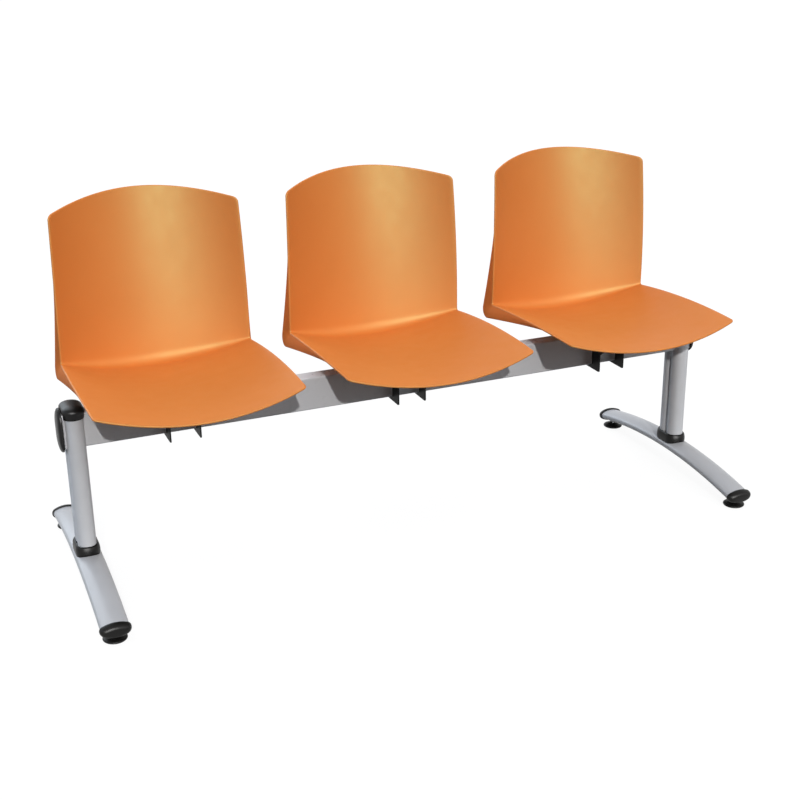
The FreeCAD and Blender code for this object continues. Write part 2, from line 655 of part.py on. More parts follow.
def seat_patches():
    """Seat, fold and backrest, each as three control rows of half width, edge and middle of the face."""
    front_edge = Vector(0, -size("pan_front_reach"), size("pan_front_height"))
    front_middle = front_edge + Vector(0, -size("pan_front_bow"), -size("pan_front_dip"))
    fold_edge = Vector(0, size("crease_reach"), size("crease_height"))
    fold_middle = fold_edge + Vector(0, size("crease_hollow"), -size("crease_dip"))
    top_edge = Vector(0, size("back_top_reach"), size("back_top_height"))
    top_middle = top_edge + Vector(0, size("back_hollow"), size("back_arch"))
    front_half = face_half(size("pan_front_width"), size("pan_front_dip"))
    fold_half = face_half(size("crease_width"), size("crease_hollow"))
    top_half = face_half(size("back_top_width"), size("back_hollow"))
    lumbar = Vector(0, -2 * size("back_lumbar"), 0)
    front = (front_half, front_edge, front_middle)
    fold = (fold_half, fold_edge, fold_middle)
    top = (top_half, top_edge, top_middle)
    pan = (
        (front_half + fold_half) / 2 + 2 * size("pan_side_bow"),
        (front_edge + fold_edge) / 2 + Vector(0, 0, 2 * size("pan_side_crown")),
        (front_middle + fold_middle) / 2 + Vector(0, 0, 2 * size("pan_middle_crown")),
    )
    back = (
        (fold_half + top_half) / 2 + 2 * size("back_side_bow"),
        (fold_edge + top_edge) / 2 + lumbar,
        (fold_middle + top_middle) / 2 + lumbar,
    )

    def beside_fold(row):
        """Where the rounding of the fold begins on the way to another row."""
        edge_way, middle_way = row[1] - fold_edge, row[2] - fold_middle
        share = size("fold_end") / edge_way.Length
        edge = fold_edge + edge_way * share
        middle = fold_middle + middle_way * (size("fold_middle") / middle_way.Length)
        return (fold_half + (row[0] - fold_half) * share, edge, middle)

    before, after = beside_fold(pan), beside_fold(back)
    return [(front, pan, before), (before, fold, after), (after, back, top)]


def seat_section(patch, share):
    """A cut across the seat: rows of points on its face and on its underside."""
    half, edge, middle = (quadratic(*values, share) for values in zip(*patch))
    edge_way = quadratic_slope(*(row[1] for row in patch), share)
    middle_way = quadratic_slope(*(row[2] for row in patch), share)
    rise = (edge - middle) * 2
    edge_normal = edge_way.cross(Vector(half, rise.y, rise.z)).normalize()
    middle_normal = middle_way.cross(Vector(1, 0, 0)).normalize()
    rows = []
    for depth in (0, size("shell_thickness")):
        right = Vector(half, edge.y, edge.z) + edge_normal * depth
        left = Vector(-right.x, right.y, right.z)
        through = middle + middle_normal * depth
        control = through * 2 - (left + right) / 2
        rows.append(curve_points(left, control, right, FLAT_COUNT))
    return rows


def curve_points(first, middle, last, count, start=0.0, end=1.0):
    """Evenly shared points on a quadratic curve, or on a stretch of it."""
    return [quadratic(first, middle, last, start + (end - start) * step / count) for step in range(count + 1)]


def facets(near_row, far_row):
    """Flat faces between two rows of points, two for each pair of steps."""
    faces = []
    for step in range(len(near_row) - 1):
        near, ahead = near_row[step:step + 2]
        across, beyond = far_row[step:step + 2]
        for corners in ([near, ahead, beyond], [near, beyond, across]):
            faces.append(Part.Face(Part.makePolygon(corners + corners[:1])))
    return faces


def solid_between(outer, inner):
    """A closed wall between two grids of points with as many rows and columns."""
    faces = []
    for grid in (outer, inner):
        for near_row, far_row in zip(grid, grid[1:]):
            faces += facets(near_row, far_row)
    for end in (0, -1):
        faces += facets(outer[end], inner[end])
        faces += facets([row[end] for row in outer], [row[end] for row in inner])
    skin = Part.Shell(faces)
    skin.sewShape()
    solid = Part.Solid(skin)
    if solid.Volume < 0:
        solid.reverse()
    return solid


def seat_height(y):
    """Height of the face's centre line above the floor, found by halving along the seat."""
    middles = [row[2] for row in seat_patches()[0]]
    near, far = 0.0, 1.0
    for _ in range(HALVING_COUNT):
        share = (near + far) / 2
        if quadratic(*middles, share).y < y:
            near = share
        else:
            far = share
    return quadratic(*middles, near).z


def make_cheek():
    """The right-hand cheek: a thin wall under the seat's side and behind the foot of the backrest.

    Both stretches leave the edge of the shell and flare outwards to the heel, where they meet.
    """
    pan_patch, _, back_patch = seat_patches()
    sink = CHEEK_SINK * size("shell_thickness")
    inward = Vector(-size("cheek_inset"), sink, -sink)
    front_half, fold_half, top_half = (
        size(name) / 2 for name in ("pan_front_width", "crease_width", "back_top_width")
    )
    front = Vector(front_half, 0, 0) + pan_patch[0][1] + inward
    pan = Vector((front_half + fold_half) / 2 + 2 * size("pan_side_bow"), 0, 0) + pan_patch[1][1] + inward
    fold = Vector(fold_half, size("crease_reach"), size("crease_height")) + inward
    back = Vector((fold_half + top_half) / 2 + 2 * size("back_side_bow"), 0, 0) + back_patch[1][1] + inward
    top = Vector(top_half, 0, 0) + back_patch[2][1] + inward
    forward, upward = size("cheek_forward"), size("cheek_upward")
    pan_start = 1 - forward / (size("pan_front_reach") + size("crease_reach"))
    back_end = upward / (size("back_top_height") - size("crease_height"))
    edge_below = curve_points(front, pan, fold, CHEEK_RUN_COUNT, start=pan_start)
    edge_behind = curve_points(fold, back, top, CHEEK_RUN_COUNT, end=back_end)
    heel = Vector(
        fold_half + size("cheek_flare"),
        size("crease_reach") + size("cheek_reach"),
        size("crease_height") - size("cheek_depth"),
    )
    tip = CHEEK_TIP_SINK * size("shell_thickness")
    tip_front, tip_top = edge_below[0] + Vector(0, 0, -tip), edge_behind[-1] + Vector(0, tip, 0)
    sole_bend = tip_front + (fold - pan).normalize() * (forward * CHEEK_RUN_ON)
    spine_bend = tip_top - (back - fold).normalize() * (upward * CHEEK_RUN_ON)
    sole = curve_points(tip_front, sole_bend, heel, CHEEK_RUN_COUNT)
    spine = curve_points(heel, spine_bend, tip_top, CHEEK_RUN_COUNT)
    outer = [edge_below + edge_behind[1:], sole + spine[1:]]
    through = Vector(-size("cheek_thickness"), 0, 0)
    inner = [[point + through for point in row] for row in outer]
    sole_way, spine_way = sole[-2] - heel, spine[1] - heel
    rounding = make_corner_tool(
        heel - through, Vector(0, sole_way.y, sole_way.z), Vector(0, spine_way.y, spine_way.z),
        size("cheek_round"), 3 * through - Vector(2 * size("cheek_flare"), 0, 0),
    )
    return solid_between(outer, inner).cut(rounding)


def make_rail(x):
    """A rail under the seat that stands on the bracket and takes the seat's screws."""
    foot = number(BRACKET_TOP)
    wide = size("rail_width")
    reach = size("rail_length") / 2
    sink = RAIL_SINK * size("shell_thickness")
    side = x - wide / 2
    corners = [
        Vector(side, -reach, foot),
        Vector(side, reach, foot),
        Vector(side, reach, seat_height(reach) - sink),
        Vector(side, -reach, seat_height(-reach) - sink),
    ]
    return Part.Face(Part.makePolygon(corners + corners[:1])).extrude(Vector(wide, 0, 0))


def make_corner_tool(corner, side_way, edge_way, radius, through):
    """What a rounded corner takes off: a prism with a hollow side that touches both edges."""
    side_way, edge_way = side_way.normalize(), edge_way.normalize()
    half = side_way.getAngle(edge_way) / 2
    inward = (side_way + edge_way).normalize()
    centre = corner + inward * (radius / math.sin(half))
    run = radius / math.tan(half)
    start, end = corner + side_way * run, corner + edge_way * run
    outside = corner - inward * radius
    hollow = Part.Arc(start, centre - inward * radius, end).toShape()
    straight = Part.makePolygon([end, outside, start])
    return Part.Face(Part.Wire([hollow] + straight.Edges)).extrude(through)


def make_corner_tools():
    """Tools for the right-hand corners: through the backrest from the front, and down through the seat."""
    top_half, fold_half, front_half = (
        size(name) / 2 for name in ("back_top_width", "crease_width", "pan_front_width")
    )
    reach = size("crease_reach") + size("back_hollow")
    top = Vector(top_half, -reach, size("back_top_height"))
    down_side = Vector(fold_half - top_half, 0, size("crease_height") - size("back_top_height"))
    along_top = Vector(-top_half, 0, 2 * size("back_arch"))
    front = Vector(front_half, -size("pan_front_reach"), 0)
    run = size("pan_front_reach") + size("crease_reach")
    back_side = Vector(fold_half - front_half + 4 * size("pan_side_bow"), run, 0)
    along_front = Vector(-front_half, -2 * size("pan_front_bow"), 0)
    backward, upward = Vector(0, 3 * reach, 0), Vector(0, 0, size("back_top_height"))
    return [
        make_corner_tool(top, down_side, along_top, size("top_corner"), backward),
        make_corner_tool(front, back_side, along_front, size("front_corner"), upward),
    ]


def make_shell_shape():
    """The one-piece seat: wall with rounded corners, cheeks and rails."""
    sections = []
    for patch, count in zip(seat_patches(), (SEAT_STRIP_COUNT, FOLD_STRIP_COUNT, BACK_STRIP_COUNT)):
        first = 1 if sections else 0
        sections += [seat_section(patch, step / count) for step in range(first, count + 1)]
    wall = solid_between([face for face, _ in sections], [underside for _, underside in sections])
    mirror = (Vector(0, 0, 0), Vector(1, 0, 0))
    tools = make_corner_tools()
    wall = wall.cut(tools + [tool.mirror(*mirror) for tool in tools])
    cheek = make_cheek()
    across = size("rail_spacing") / 2
    return wall.fuse([cheek, cheek.mirror(*mirror), make_rail(-across), make_rail(across)])


def make_seat_shells():
    shape = make_shell_shape()
    for name, offset in SEATS.items():
        shell = document.addObject("Part::Feature", f"seat_shell_{name}")
        shell.Label = f"seat_shell_{name}"
        shell.Shape = shape
        place(shell, f"{offset} * Sizes.seat_pitch")


# Assembly

make_beam()
make_seat_shells()
for name, offset in SEATS.items():
    make_bracket(name, offset)
    make_clamp(name, offset)
for side, sign in SIDES.items():
    make_beam_cap(side, sign)
    make_foot_bar(side, sign)
    make_collar(side, sign)
    make_post(side, sign)
    make_post_cap(side, sign)
    for end, way in ENDS.items():
        make_foot_cap(end, way, side, sign)
        make_glide(end, way, side, sign)
document.recompute()

NODES = ["beam"]
for side in SIDES:
    NODES += [
        f"{piece}_{side}"
        for piece in ("beam_end_cap", "foot_bar", "post_collar", "leg_post", "post_cap")
    ]
    for end in ENDS:
        NODES += [f"{piece}_{end}_{side}" for piece in ("foot_cap", "glide")]
for name in SEATS:
    NODES += [f"{piece}_{name}" for piece in ("seat_shell", "seat_bracket", "clamp_bar")]

for item in document.Objects:
    if {"Invalid", "Error"} & set(item.State):
        raise RuntimeError(f"{item.Label} failed: {item.State}")

os.makedirs("parts", exist_ok=True)
for label in NODES:
    piece = document.getObjectsByLabel(label)[0]
    if piece.Shape.isNull() or not piece.Shape.isValid():
        raise RuntimeError(f"{label} has no valid shape")
    if not piece.Shape.Solids:
        raise RuntimeError(f"{label} has no solid")
for label in NODES:
    document.getObjectsByLabel(label)[0].Shape.exportStep(f"parts/{label}.step")
print(len(NODES), "pieces")
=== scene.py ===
import math
import bmesh
import bpy
from mathutils import Matrix, Vector


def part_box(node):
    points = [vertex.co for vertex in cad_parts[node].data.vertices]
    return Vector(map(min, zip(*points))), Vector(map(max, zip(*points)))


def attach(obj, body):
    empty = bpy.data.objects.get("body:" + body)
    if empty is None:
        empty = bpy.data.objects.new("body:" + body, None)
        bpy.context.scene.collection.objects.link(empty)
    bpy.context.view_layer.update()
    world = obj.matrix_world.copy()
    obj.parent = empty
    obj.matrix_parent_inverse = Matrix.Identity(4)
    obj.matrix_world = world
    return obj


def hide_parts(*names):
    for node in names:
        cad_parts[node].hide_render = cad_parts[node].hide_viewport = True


# Three-seat beam bench for waiting rooms. X runs along the beam, +Y points to the back, +Z up, in metres.

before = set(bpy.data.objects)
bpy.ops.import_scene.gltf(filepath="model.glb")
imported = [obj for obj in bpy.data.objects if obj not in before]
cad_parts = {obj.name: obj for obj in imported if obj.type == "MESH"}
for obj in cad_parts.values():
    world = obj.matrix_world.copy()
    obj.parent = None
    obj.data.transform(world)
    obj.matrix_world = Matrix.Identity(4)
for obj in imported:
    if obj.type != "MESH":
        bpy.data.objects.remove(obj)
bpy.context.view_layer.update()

MM = 0.001
BENCH = "bench"
SEATS = ("left", "middle", "right")
SIDES = {"left": -1, "right": 1}
ENDS = {"front": -1, "rear": 1}

# Places read from the frame
beam_low, beam_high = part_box("beam")
beam_middle_z = (beam_low.z + beam_high.z) / 2
seat_x = {name: sum(corner.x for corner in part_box(f"seat_bracket_{name}")) / 2 for name in SEATS}
post_x = {side: sum(corner.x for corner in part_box(f"leg_post_{side}")) / 2 for side in SIDES}
glide_y = {end: sum(corner.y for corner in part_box(f"glide_{end}_left")) / 2 for end in ENDS}
bracket_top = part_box("seat_bracket_middle")[1].z

# Seat shell, the same curves as the solid
WALL = 5 * MM
RIM = WALL / 2
PAN_FRONT_WIDTH = 457 * MM
CREASE_WIDTH = 454 * MM
BACK_TOP_WIDTH = 438 * MM
FRONT_EDGE = Vector((0, -237, 477)) * MM
FRONT_MIDDLE = FRONT_EDGE + Vector((0, -26, -35)) * MM
FOLD_EDGE = Vector((0, 169.5, 461.5)) * MM
FOLD_MIDDLE = FOLD_EDGE + Vector((0, 60, -48)) * MM
TOP_EDGE = Vector((0, 178.7, 800.3)) * MM
TOP_MIDDLE = TOP_EDGE + Vector((0, 108, 27.5)) * MM
PAN_SIDE_BOW = 4.2 * MM
PAN_SIDE_CROWN = 7.5 * MM
PAN_MIDDLE_CROWN = 3 * MM
BACK_SIDE_BOW = 0.8 * MM
BACK_LUMBAR = 5.8 * MM
FOLD_RUN_MIDDLE = 28 * MM
FOLD_RUN_END = 6 * MM
TOP_CORNER = 8 * MM
FRONT_CORNER = 7 * MM
CHEEK_WALL = 4 * MM
CHEEK_DEPTH = 44 * MM
CHEEK_REACH = 42 * MM
CHEEK_FLARE = 10 * MM
CHEEK_FORWARD = 300 * MM
CHEEK_UPWARD = 215 * MM
CHEEK_START = 0.265
CHEEK_END = 2.632
CHEEK_ROUND = 24 * MM
CHEEK_BULGE = 2.2 * MM
CHEEK_ROOT_UNDER = 1.1 * RIM
CHEEK_ROOT_OUT = 0.75 * RIM

# Feet
BAR_WIDTH = 62 * MM
BAR_HEIGHT = 28 * MM
BAR_NOSE = 9 * MM
BAR_HALF_LENGTH = 302 * MM
ARCH_RISE = 31 * MM
BAR_END_Z = 30.5 * MM
CAP_DEPTH = 18 * MM
CAP_LIP = 3.0 * MM
CAP_LIFT = 1.2 * MM
CAP_EDGE = 2.6 * MM
NUT_SIZE = 17 * MM
NUT_HEIGHT = 6.5 * MM
NUT_DROP = 1 * MM
STUD_RADIUS = 4 * MM
THREAD_PITCH = 1.25 * MM
THREAD_DEPTH = 0.6 * MM

# Posts, two overlapping round lobes
LOBE_RADIUS = 21 * MM
LOBE_SPACING = 32 * MM

# Rails under the seat
RAIL_SPACING = 44 * MM
RAIL_LENGTH = 196 * MM
RAIL_WIDTH = 13 * MM

# Angles in degrees above which an edge stays sharp
SHARP_ANGLE = 40
TUBE_SHARP_ANGLE = 30
BOLT_SHARP_ANGLE = 25

# Light from all round: its strength at the horizon, what is added overhead and how fast that fades
SKY_AROUND = 0.01
SKY_OVERHEAD = 1.9
SKY_FADE = 4.0

# Floor
FLOOR_REACH = 30
FLOOR_LEVEL = -0.5 * MM
FLOOR_GLOW = 0.88

# Photograph's viewing angle
CAMERA_PLACE = Vector((-1.1416, -2.7144, 1.4502))
CAMERA_YAW = math.radians(22.668)
CAMERA_PITCH = math.radians(21.182)
CAMERA_ROLL = math.radians(0.730)
CAMERA_LENS = 58.55


# Materials

def new_material(name):
    material = bpy.data.materials.new(name)
    material.use_nodes = True
    nodes = material.node_tree.nodes
    return material, nodes, material.node_tree.links, nodes["Principled BSDF"]


def add_node(nodes, kind, **values):
    """A shader node with its inputs and properties set by name."""
    node = nodes.new(kind)
    for key, value in values.items():
        if key in node.inputs:
            node.inputs[key].default_value = value
        else:
            setattr(node, key, value)
    return node


def add_bump(nodes, links, shader, height, strength, distance):
    bump = nodes.new("ShaderNodeBump")
    bump.inputs["Strength"].default_value = strength
    bump.inputs["Distance"].default_value = distance
    links.new(height, bump.inputs["Height"])
    links.new(bump.outputs["Normal"], shader.inputs["Normal"])


def vary_colour(nodes, links, shader, coordinates, first, second, scale):
    """Slow mottling between two near colours."""
    noise = add_node(nodes, "ShaderNodeTexNoise", Scale=scale, Detail=3.0)
    ramp = nodes.new("ShaderNodeValToRGB")
    ramp.color_ramp.elements[0].position = 0.3
    ramp.color_ramp.elements[0].color = (*first, 1)
    ramp.color_ramp.elements[1].position = 0.7
    ramp.color_ramp.elements[1].color = (*second, 1)
    links.new(coordinates, noise.inputs["Vector"])
    links.new(noise.outputs["Fac"], ramp.inputs["Fac"])
    links.new(ramp.outputs["Color"], shader.inputs["Base Color"])


def vary_roughness(nodes, links, shader, coordinates, low, high, scale):
    noise = add_node(nodes, "ShaderNodeTexNoise", Scale=scale, Detail=4.0)
    spread = nodes.new("ShaderNodeMapRange")
    spread.inputs["From Min"].default_value = 0.3
    spread.inputs["From Max"].default_value = 0.7
    spread.inputs["To Min"].default_value = low
    spread.inputs["To Max"].default_value = high
    links.new(coordinates, noise.inputs["Vector"])
    links.new(noise.outputs["Fac"], spread.inputs["Value"])
    links.new(spread.outputs["Result"], shader.inputs["Roughness"])


def grained_plastic(name, first, second, roughness, specular, grain_scale, grain, tint=(1, 1, 1)):
    """Moulded plastic with a fine eroded grain."""
    material, nodes, links, shader = new_material(name)
    coordinates = nodes.new("ShaderNodeTexCoord").outputs["Object"]
    vary_colour(nodes, links, shader, coordinates, first, second, scale=7)
    vary_roughness(nodes, links, shader, coordinates, roughness - 0.03, roughness + 0.03, scale=30)
    pits = add_node(nodes, "ShaderNodeTexVoronoi", Scale=grain_scale)
    links.new(coordinates, pits.inputs["Vector"])
    add_bump(nodes, links, shader, pits.outputs["Distance"], strength=grain, distance=0.3 * MM)
    shader.inputs["Specular IOR Level"].default_value = specular
    shader.inputs["Specular Tint"].default_value = (*tint, 1)
    return material


def powder_coat(name, first, second, roughness, specular, texture, metallic=0.0):
    """Powder coat with a slight orange peel."""
    material, nodes, links, shader = new_material(name)
    coordinates = nodes.new("ShaderNodeTexCoord").outputs["Object"]
    vary_colour(nodes, links, shader, coordinates, first, second, scale=12)
    vary_roughness(nodes, links, shader, coordinates, roughness - 0.04, roughness + 0.04, scale=60)
    peel = add_node(nodes, "ShaderNodeTexNoise", Scale=900.0, Detail=2.0)
    links.new(coordinates, peel.inputs["Vector"])
    add_bump(nodes, links, shader, peel.outputs["Fac"], strength=texture, distance=0.2 * MM)
    shader.inputs["Metallic"].default_value = metallic
    shader.inputs["Specular IOR Level"].default_value = specular
    return material


def drawn_aluminium(name, colour, roughness):
    """Anodised extrusion with faint lines along Z."""
    material, nodes, links, shader = new_material(name)
    coordinates = nodes.new("ShaderNodeTexCoord").outputs["Object"]
    stretch = nodes.new("ShaderNodeMapping")
    stretch.inputs["Scale"].default_value = (700, 700, 3)
    lines = add_node(nodes, "ShaderNodeTexNoise", Scale=1.0, Detail=2.0)
    links.new(coordinates, stretch.inputs["Vector"])
    links.new(stretch.outputs["Vector"], lines.inputs["Vector"])
    add_bump(nodes, links, shader, lines.outputs["Fac"], strength=0.06, distance=0.2 * MM)
    duller = tuple(0.96 * part for part in colour)
    vary_colour(nodes, links, shader, coordinates, colour, duller, scale=20)
    vary_roughness(nodes, links, shader, coordinates, roughness - 0.03, roughness + 0.03, scale=40)
    shader.inputs["Specular IOR Level"].default_value = 0.12
    return material


orange = grained_plastic(
    "orange_shell", (0.68, 0.190, 0.036), (0.665, 0.182, 0.033),
    roughness=0.54, specular=0.58, grain_scale=1400.0, grain=0.10, tint=(0.42, 0.96, 0.45),
)
orange_matte = grained_plastic(
    "orange_matte", (0.70, 0.190, 0.038), (0.67, 0.182, 0.035),
    roughness=0.68, specular=0.12, grain_scale=900.0, grain=0.22,
)
black_plastic = grained_plastic(
    "black_plastic", (0.005, 0.0045, 0.004), (0.007, 0.0065, 0.006),
    roughness=0.38, specular=0.17, grain_scale=1100.0, grain=0.12,
)
rubber = grained_plastic(
    "black_glide", (0.006, 0.0055, 0.005), (0.008, 0.0075, 0.007),
    roughness=0.42, specular=0.14, grain_scale=900.0, grain=0.12,
)
beam_silver = powder_coat(
    "beam_silver", (0.70, 0.71, 0.74), (0.68, 0.69, 0.72),
    roughness=0.30, specular=0.25, texture=0.05,
)
bar_silver = powder_coat(
    "bar_silver", (0.45, 0.455, 0.475), (0.43, 0.435, 0.455),
    roughness=0.32, specular=0.3, texture=0.04,
)
black_steel = powder_coat(
    "black_steel", (0.008, 0.008, 0.008), (0.011, 0.011, 0.010),
    roughness=0.5, specular=0.08, texture=0.12,
)
zinc = powder_coat(
    "zinc_plate", (0.40, 0.41, 0.43), (0.34, 0.35, 0.36),
    roughness=0.34, specular=0.5, texture=0.05, metallic=0.6,
)
aluminium = drawn_aluminium("post_aluminium", (0.74, 0.755, 0.79), 0.45)


# Mesh helpers

def mesh_object(name, vertices, faces, material, sharp_angle=SHARP_ANGLE):
    mesh = bpy.data.meshes.new(name)
    mesh.from_pydata([tuple(vertex) for vertex in vertices], [], faces)
    mesh.validate()
    piece = bpy.data.objects.new(name, mesh)
    bpy.context.scene.collection.objects.link(piece)
    finish_mesh(piece, material, sharp_angle)
    return piece


def finish_mesh(piece, material, sharp_angle):
    """Weld, point all faces outward, shade smoothly between soft edges and give the material."""
    shaper = bmesh.new()
    shaper.from_mesh(piece.data)
    bmesh.ops.remove_doubles(shaper, verts=shaper.verts, dist=1e-6)
    bmesh.ops.recalc_face_normals(shaper, faces=shaper.faces)
    shaper.to_mesh(piece.data)
    shaper.free()
    for face in piece.data.polygons:
        face.use_smooth = True
    piece.data.set_sharp_from_angle(angle=math.radians(sharp_angle))
    piece.data.materials.clear()
    piece.data.materials.append(material)


def rings_object(name, rings, material, closed=True, sharp_angle=SHARP_ANGLE):
    """A skin over rings with the same number of points, with a face over each end if it is closed."""
    count = len(rings[0])
    vertices = [point for ring in rings for point in ring]
    faces = []
    for ring in range(len(rings) - 1):
        for point in range(count):
            following = (point + 1) % count
            start, end = ring * count, (ring + 1) * count
            faces.append((start + point, start + following, end + following, end + point))
    if closed:
        faces.append(tuple(range(count - 1, -1, -1)))
        faces.append(tuple(range((len(rings) - 1) * count, len(rings) * count)))
    return mesh_object(name, vertices, faces, material, sharp_angle)


def join_loops(faces, loops, flip=False):
    """Add the faces between loops of vertex numbers, and one over each end."""
    count = len(loops[0])
    for before, after in zip(loops, loops[1:]):
        for index in range(count):
            following = (index + 1) % count
            quad = (before[index], before[following], after[following], after[index])
            faces.append(quad[::-1] if flip else quad)
    faces.append(tuple(loops[0]))
    faces.append(tuple(reversed(loops[-1])))


def weigh(piece):
    """Let large flat faces keep their own shading beside rounded edges."""
    modifier = piece.modifiers.new("shading", "WEIGHTED_NORMAL")
    modifier.keep_sharp = True
    modifier.weight = 100


def carry(piece, slot, *nodes, body=BENCH):
    """Let a piece ride on a body and stand for nodes of the frame; the slot is not used."""
    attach(piece, body)
    if nodes:
        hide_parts(*nodes)


def dress(node, material, slot, edge, angle):
    """Stand a copy of a frame node in its place, with rounded edges and a full material."""
    piece = bpy.data.objects.new(f"{node}_look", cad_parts[node].data.copy())
    bpy.context.scene.collection.objects.link(piece)
    finish_mesh(piece, material, angle)
    rounding = piece.modifiers.new("edges", "BEVEL")
    rounding.width = edge
    rounding.segments = 2
    rounding.limit_method = "ANGLE"
    rounding.angle_limit = math.radians(angle)
    weigh(piece)
    carry(piece, slot, node)


# Seat shells

def quadratic(first, middle, last, share):
    return first * (1 - share) ** 2 + middle * (2 * share * (1 - share)) + last * share ** 2


def face_half(width, hollow):
    """Half width of the face where its underside reaches the given width."""
    return width / 2 - WALL * math.sin(math.atan(4 * hollow / width))


def seat_patches():
    """Seat, fold and backrest, each as three control rows of half width, edge and middle of the face."""
    front_half = face_half(PAN_FRONT_WIDTH, FRONT_EDGE.z - FRONT_MIDDLE.z)
    fold_half = face_half(CREASE_WIDTH, FOLD_MIDDLE.y - FOLD_EDGE.y)
    top_half = face_half(BACK_TOP_WIDTH, TOP_MIDDLE.y - TOP_EDGE.y)
    lumbar = Vector((0, -2 * BACK_LUMBAR, 0))
    front = (front_half, FRONT_EDGE, FRONT_MIDDLE)
    fold = (fold_half, FOLD_EDGE, FOLD_MIDDLE)
    top = (top_half, TOP_EDGE, TOP_MIDDLE)
    pan = (
        (front_half + fold_half) / 2 + 2 * PAN_SIDE_BOW,
        (FRONT_EDGE + FOLD_EDGE) / 2 + Vector((0, 0, 2 * PAN_SIDE_CROWN)),
        (FRONT_MIDDLE + FOLD_MIDDLE) / 2 + Vector((0, 0, 2 * PAN_MIDDLE_CROWN)),
    )
    back = (
        (fold_half + top_half) / 2 + 2 * BACK_SIDE_BOW,
        (FOLD_EDGE + TOP_EDGE) / 2 + lumbar,
        (FOLD_MIDDLE + TOP_MIDDLE) / 2 + lumbar,
    )

    def beside_fold(row):
        """Where the rounding of the fold begins on the way to another row."""
        edge_way, middle_way = row[1] - FOLD_EDGE, row[2] - FOLD_MIDDLE
        share = FOLD_RUN_END / edge_way.length
        middle = FOLD_MIDDLE + middle_way * (FOLD_RUN_MIDDLE / middle_way.length)
        return (fold_half + (row[0] - fold_half) * share, FOLD_EDGE + edge_way * share, middle)

    before, after = beside_fold(pan), beside_fold(back)
    return [(front, pan, before), (before, fold, after), (after, back, top)]


PATCHES = seat_patches()


def face_point(across, along):
    """A point of the seat's face: across from -1 to 1, along from 0 at the front to 3 at the top."""
    patch = min(int(along), 2)
    half, edge, middle = (quadratic(*values, along - patch) for values in zip(*PATCHES[patch]))
    point = middle + (edge - middle) * across ** 2
    return Vector((half * across, point.y, point.z))


def face_frame(across, along):
    """The direction across the face to the right, and its normal away from the sitter."""
    step = 1e-4
    low, high = max(along - step, 0), min(along + step, 3)
    right = (face_point(across + step, along) - face_point(across - step, along)).normalized()
    forward = (face_point(across, high) - face_point(across, low)).normalized()
    return right, right.cross(forward).normalized() * -1


def rounded_rows():
    """Stations along the seat with how much its half width shrinks there, closer at the corners."""
    rows = []
    front_run = (face_point(1, 0.02) - face_point(1, 0)).length / 0.02
    back_run = (face_point(1, 3) - face_point(1, 2.98)).length / 0.02
    corner_steps = 9
    for step in range(corner_steps):
        turn = math.pi / 2 * step / corner_steps
        rows.append((FRONT_CORNER * (1 - math.cos(turn)) / front_run, FRONT_CORNER * (1 - math.sin(turn))))
    first = FRONT_CORNER / front_run
    last = 3 - TOP_CORNER / back_run
    pan_steps, fold_steps, back_steps = 44, 14, 52
    rows += [(first + (1 - first) * step / pan_steps, 0) for step in range(pan_steps)]
    rows += [(1 + step / fold_steps, 0) for step in range(fold_steps)]
    rows += [(2 + (last - 2) * step / back_steps, 0) for step in range(back_steps)]
    for step in range(corner_steps + 1):
        turn = math.pi / 2 * step / corner_steps
        rows.append((last + TOP_CORNER * math.sin(turn) / back_run, TOP_CORNER * (1 - math.cos(turn))))
    return rows


def make_wall(vertices, faces):
    """The wall of the seat: face, rounded rim and underside as one closed skin."""
    columns = 56
    rows = rounded_rows()
    face_rows = []
    for along, shrink in rows:
        half = face_point(1, along).x
        reach = 1 - (shrink + RIM) / half
        face_rows.append([(reach * (2 * column / columns - 1), along) for column in range(columns + 1)])
    row_count, row_length = len(rows), columns + 1

    def add(point):
        vertices.append(point)
        return len(vertices) - 1

    top = [[add(face_point(*place)) for place in row] for row in face_rows]
    under = [[add(face_point(*place) + face_frame(*place)[1] * WALL) for place in row] for row in face_rows]
    for grid, flip in ((top, False), (under, True)):
        for row in range(row_count - 1):
            for column in range(columns):
                near, far = grid[row], grid[row + 1]
                quad = (near[column], near[column + 1], far[column + 1], far[column])
                faces.append(quad[::-1] if flip else quad)
    border = [(0, column) for column in range(row_length)]
    border += [(row, row_length - 1) for row in range(1, row_count)]
    border += [(row_count - 1, column) for column in range(row_length - 2, -1, -1)]
    border += [(row, 0) for row in range(row_count - 2, 0, -1)]
    rim_steps = 6
    places = [face_rows[row][column] for row, column in border]
    points = [vertices[top[row][column]] for row, column in border]
    loops = []
    for index, (row, column) in enumerate(border):
        tangent = (points[(index + 1) % len(points)] - points[index - 1]).normalized()
        normal = face_frame(*places[index])[1]
        outward = normal.cross(tangent).normalized()
        loop = [top[row][column]]
        for step in range(1, rim_steps):
            turn = math.pi * step / rim_steps
            offset = normal * (RIM * (1 - math.cos(turn))) + outward * (RIM * math.sin(turn))
            loop.append(add(points[index] + offset))
        loop.append(under[row][column])
        loops.append(loop)
    for index, loop in enumerate(loops):
        following = loops[(index + 1) % len(loops)]
        for step in range(rim_steps):
            faces.append((loop[step], loop[step + 1], following[step + 1], following[step]))


def cheek_edge(along):
    """Where the cheek's outer face leaves the shell, inside the rim, on the right-hand side."""
    half = face_point(1, along).x
    place = (1 - RIM / half, along)
    right, normal = face_frame(*place)
    return face_point(*place) + normal * CHEEK_ROOT_UNDER + right * CHEEK_ROOT_OUT


def arc_between(start, corner, end, share):
    """A point on the arc that touches both sides of a corner."""
    half = (start - corner).angle(end - corner) / 2
    weight = math.sin(half)
    first, second, third = (1 - share) ** 2, 2 * weight * share * (1 - share), share ** 2
    return (start * first + corner * second + end * third) / (first + second + third)


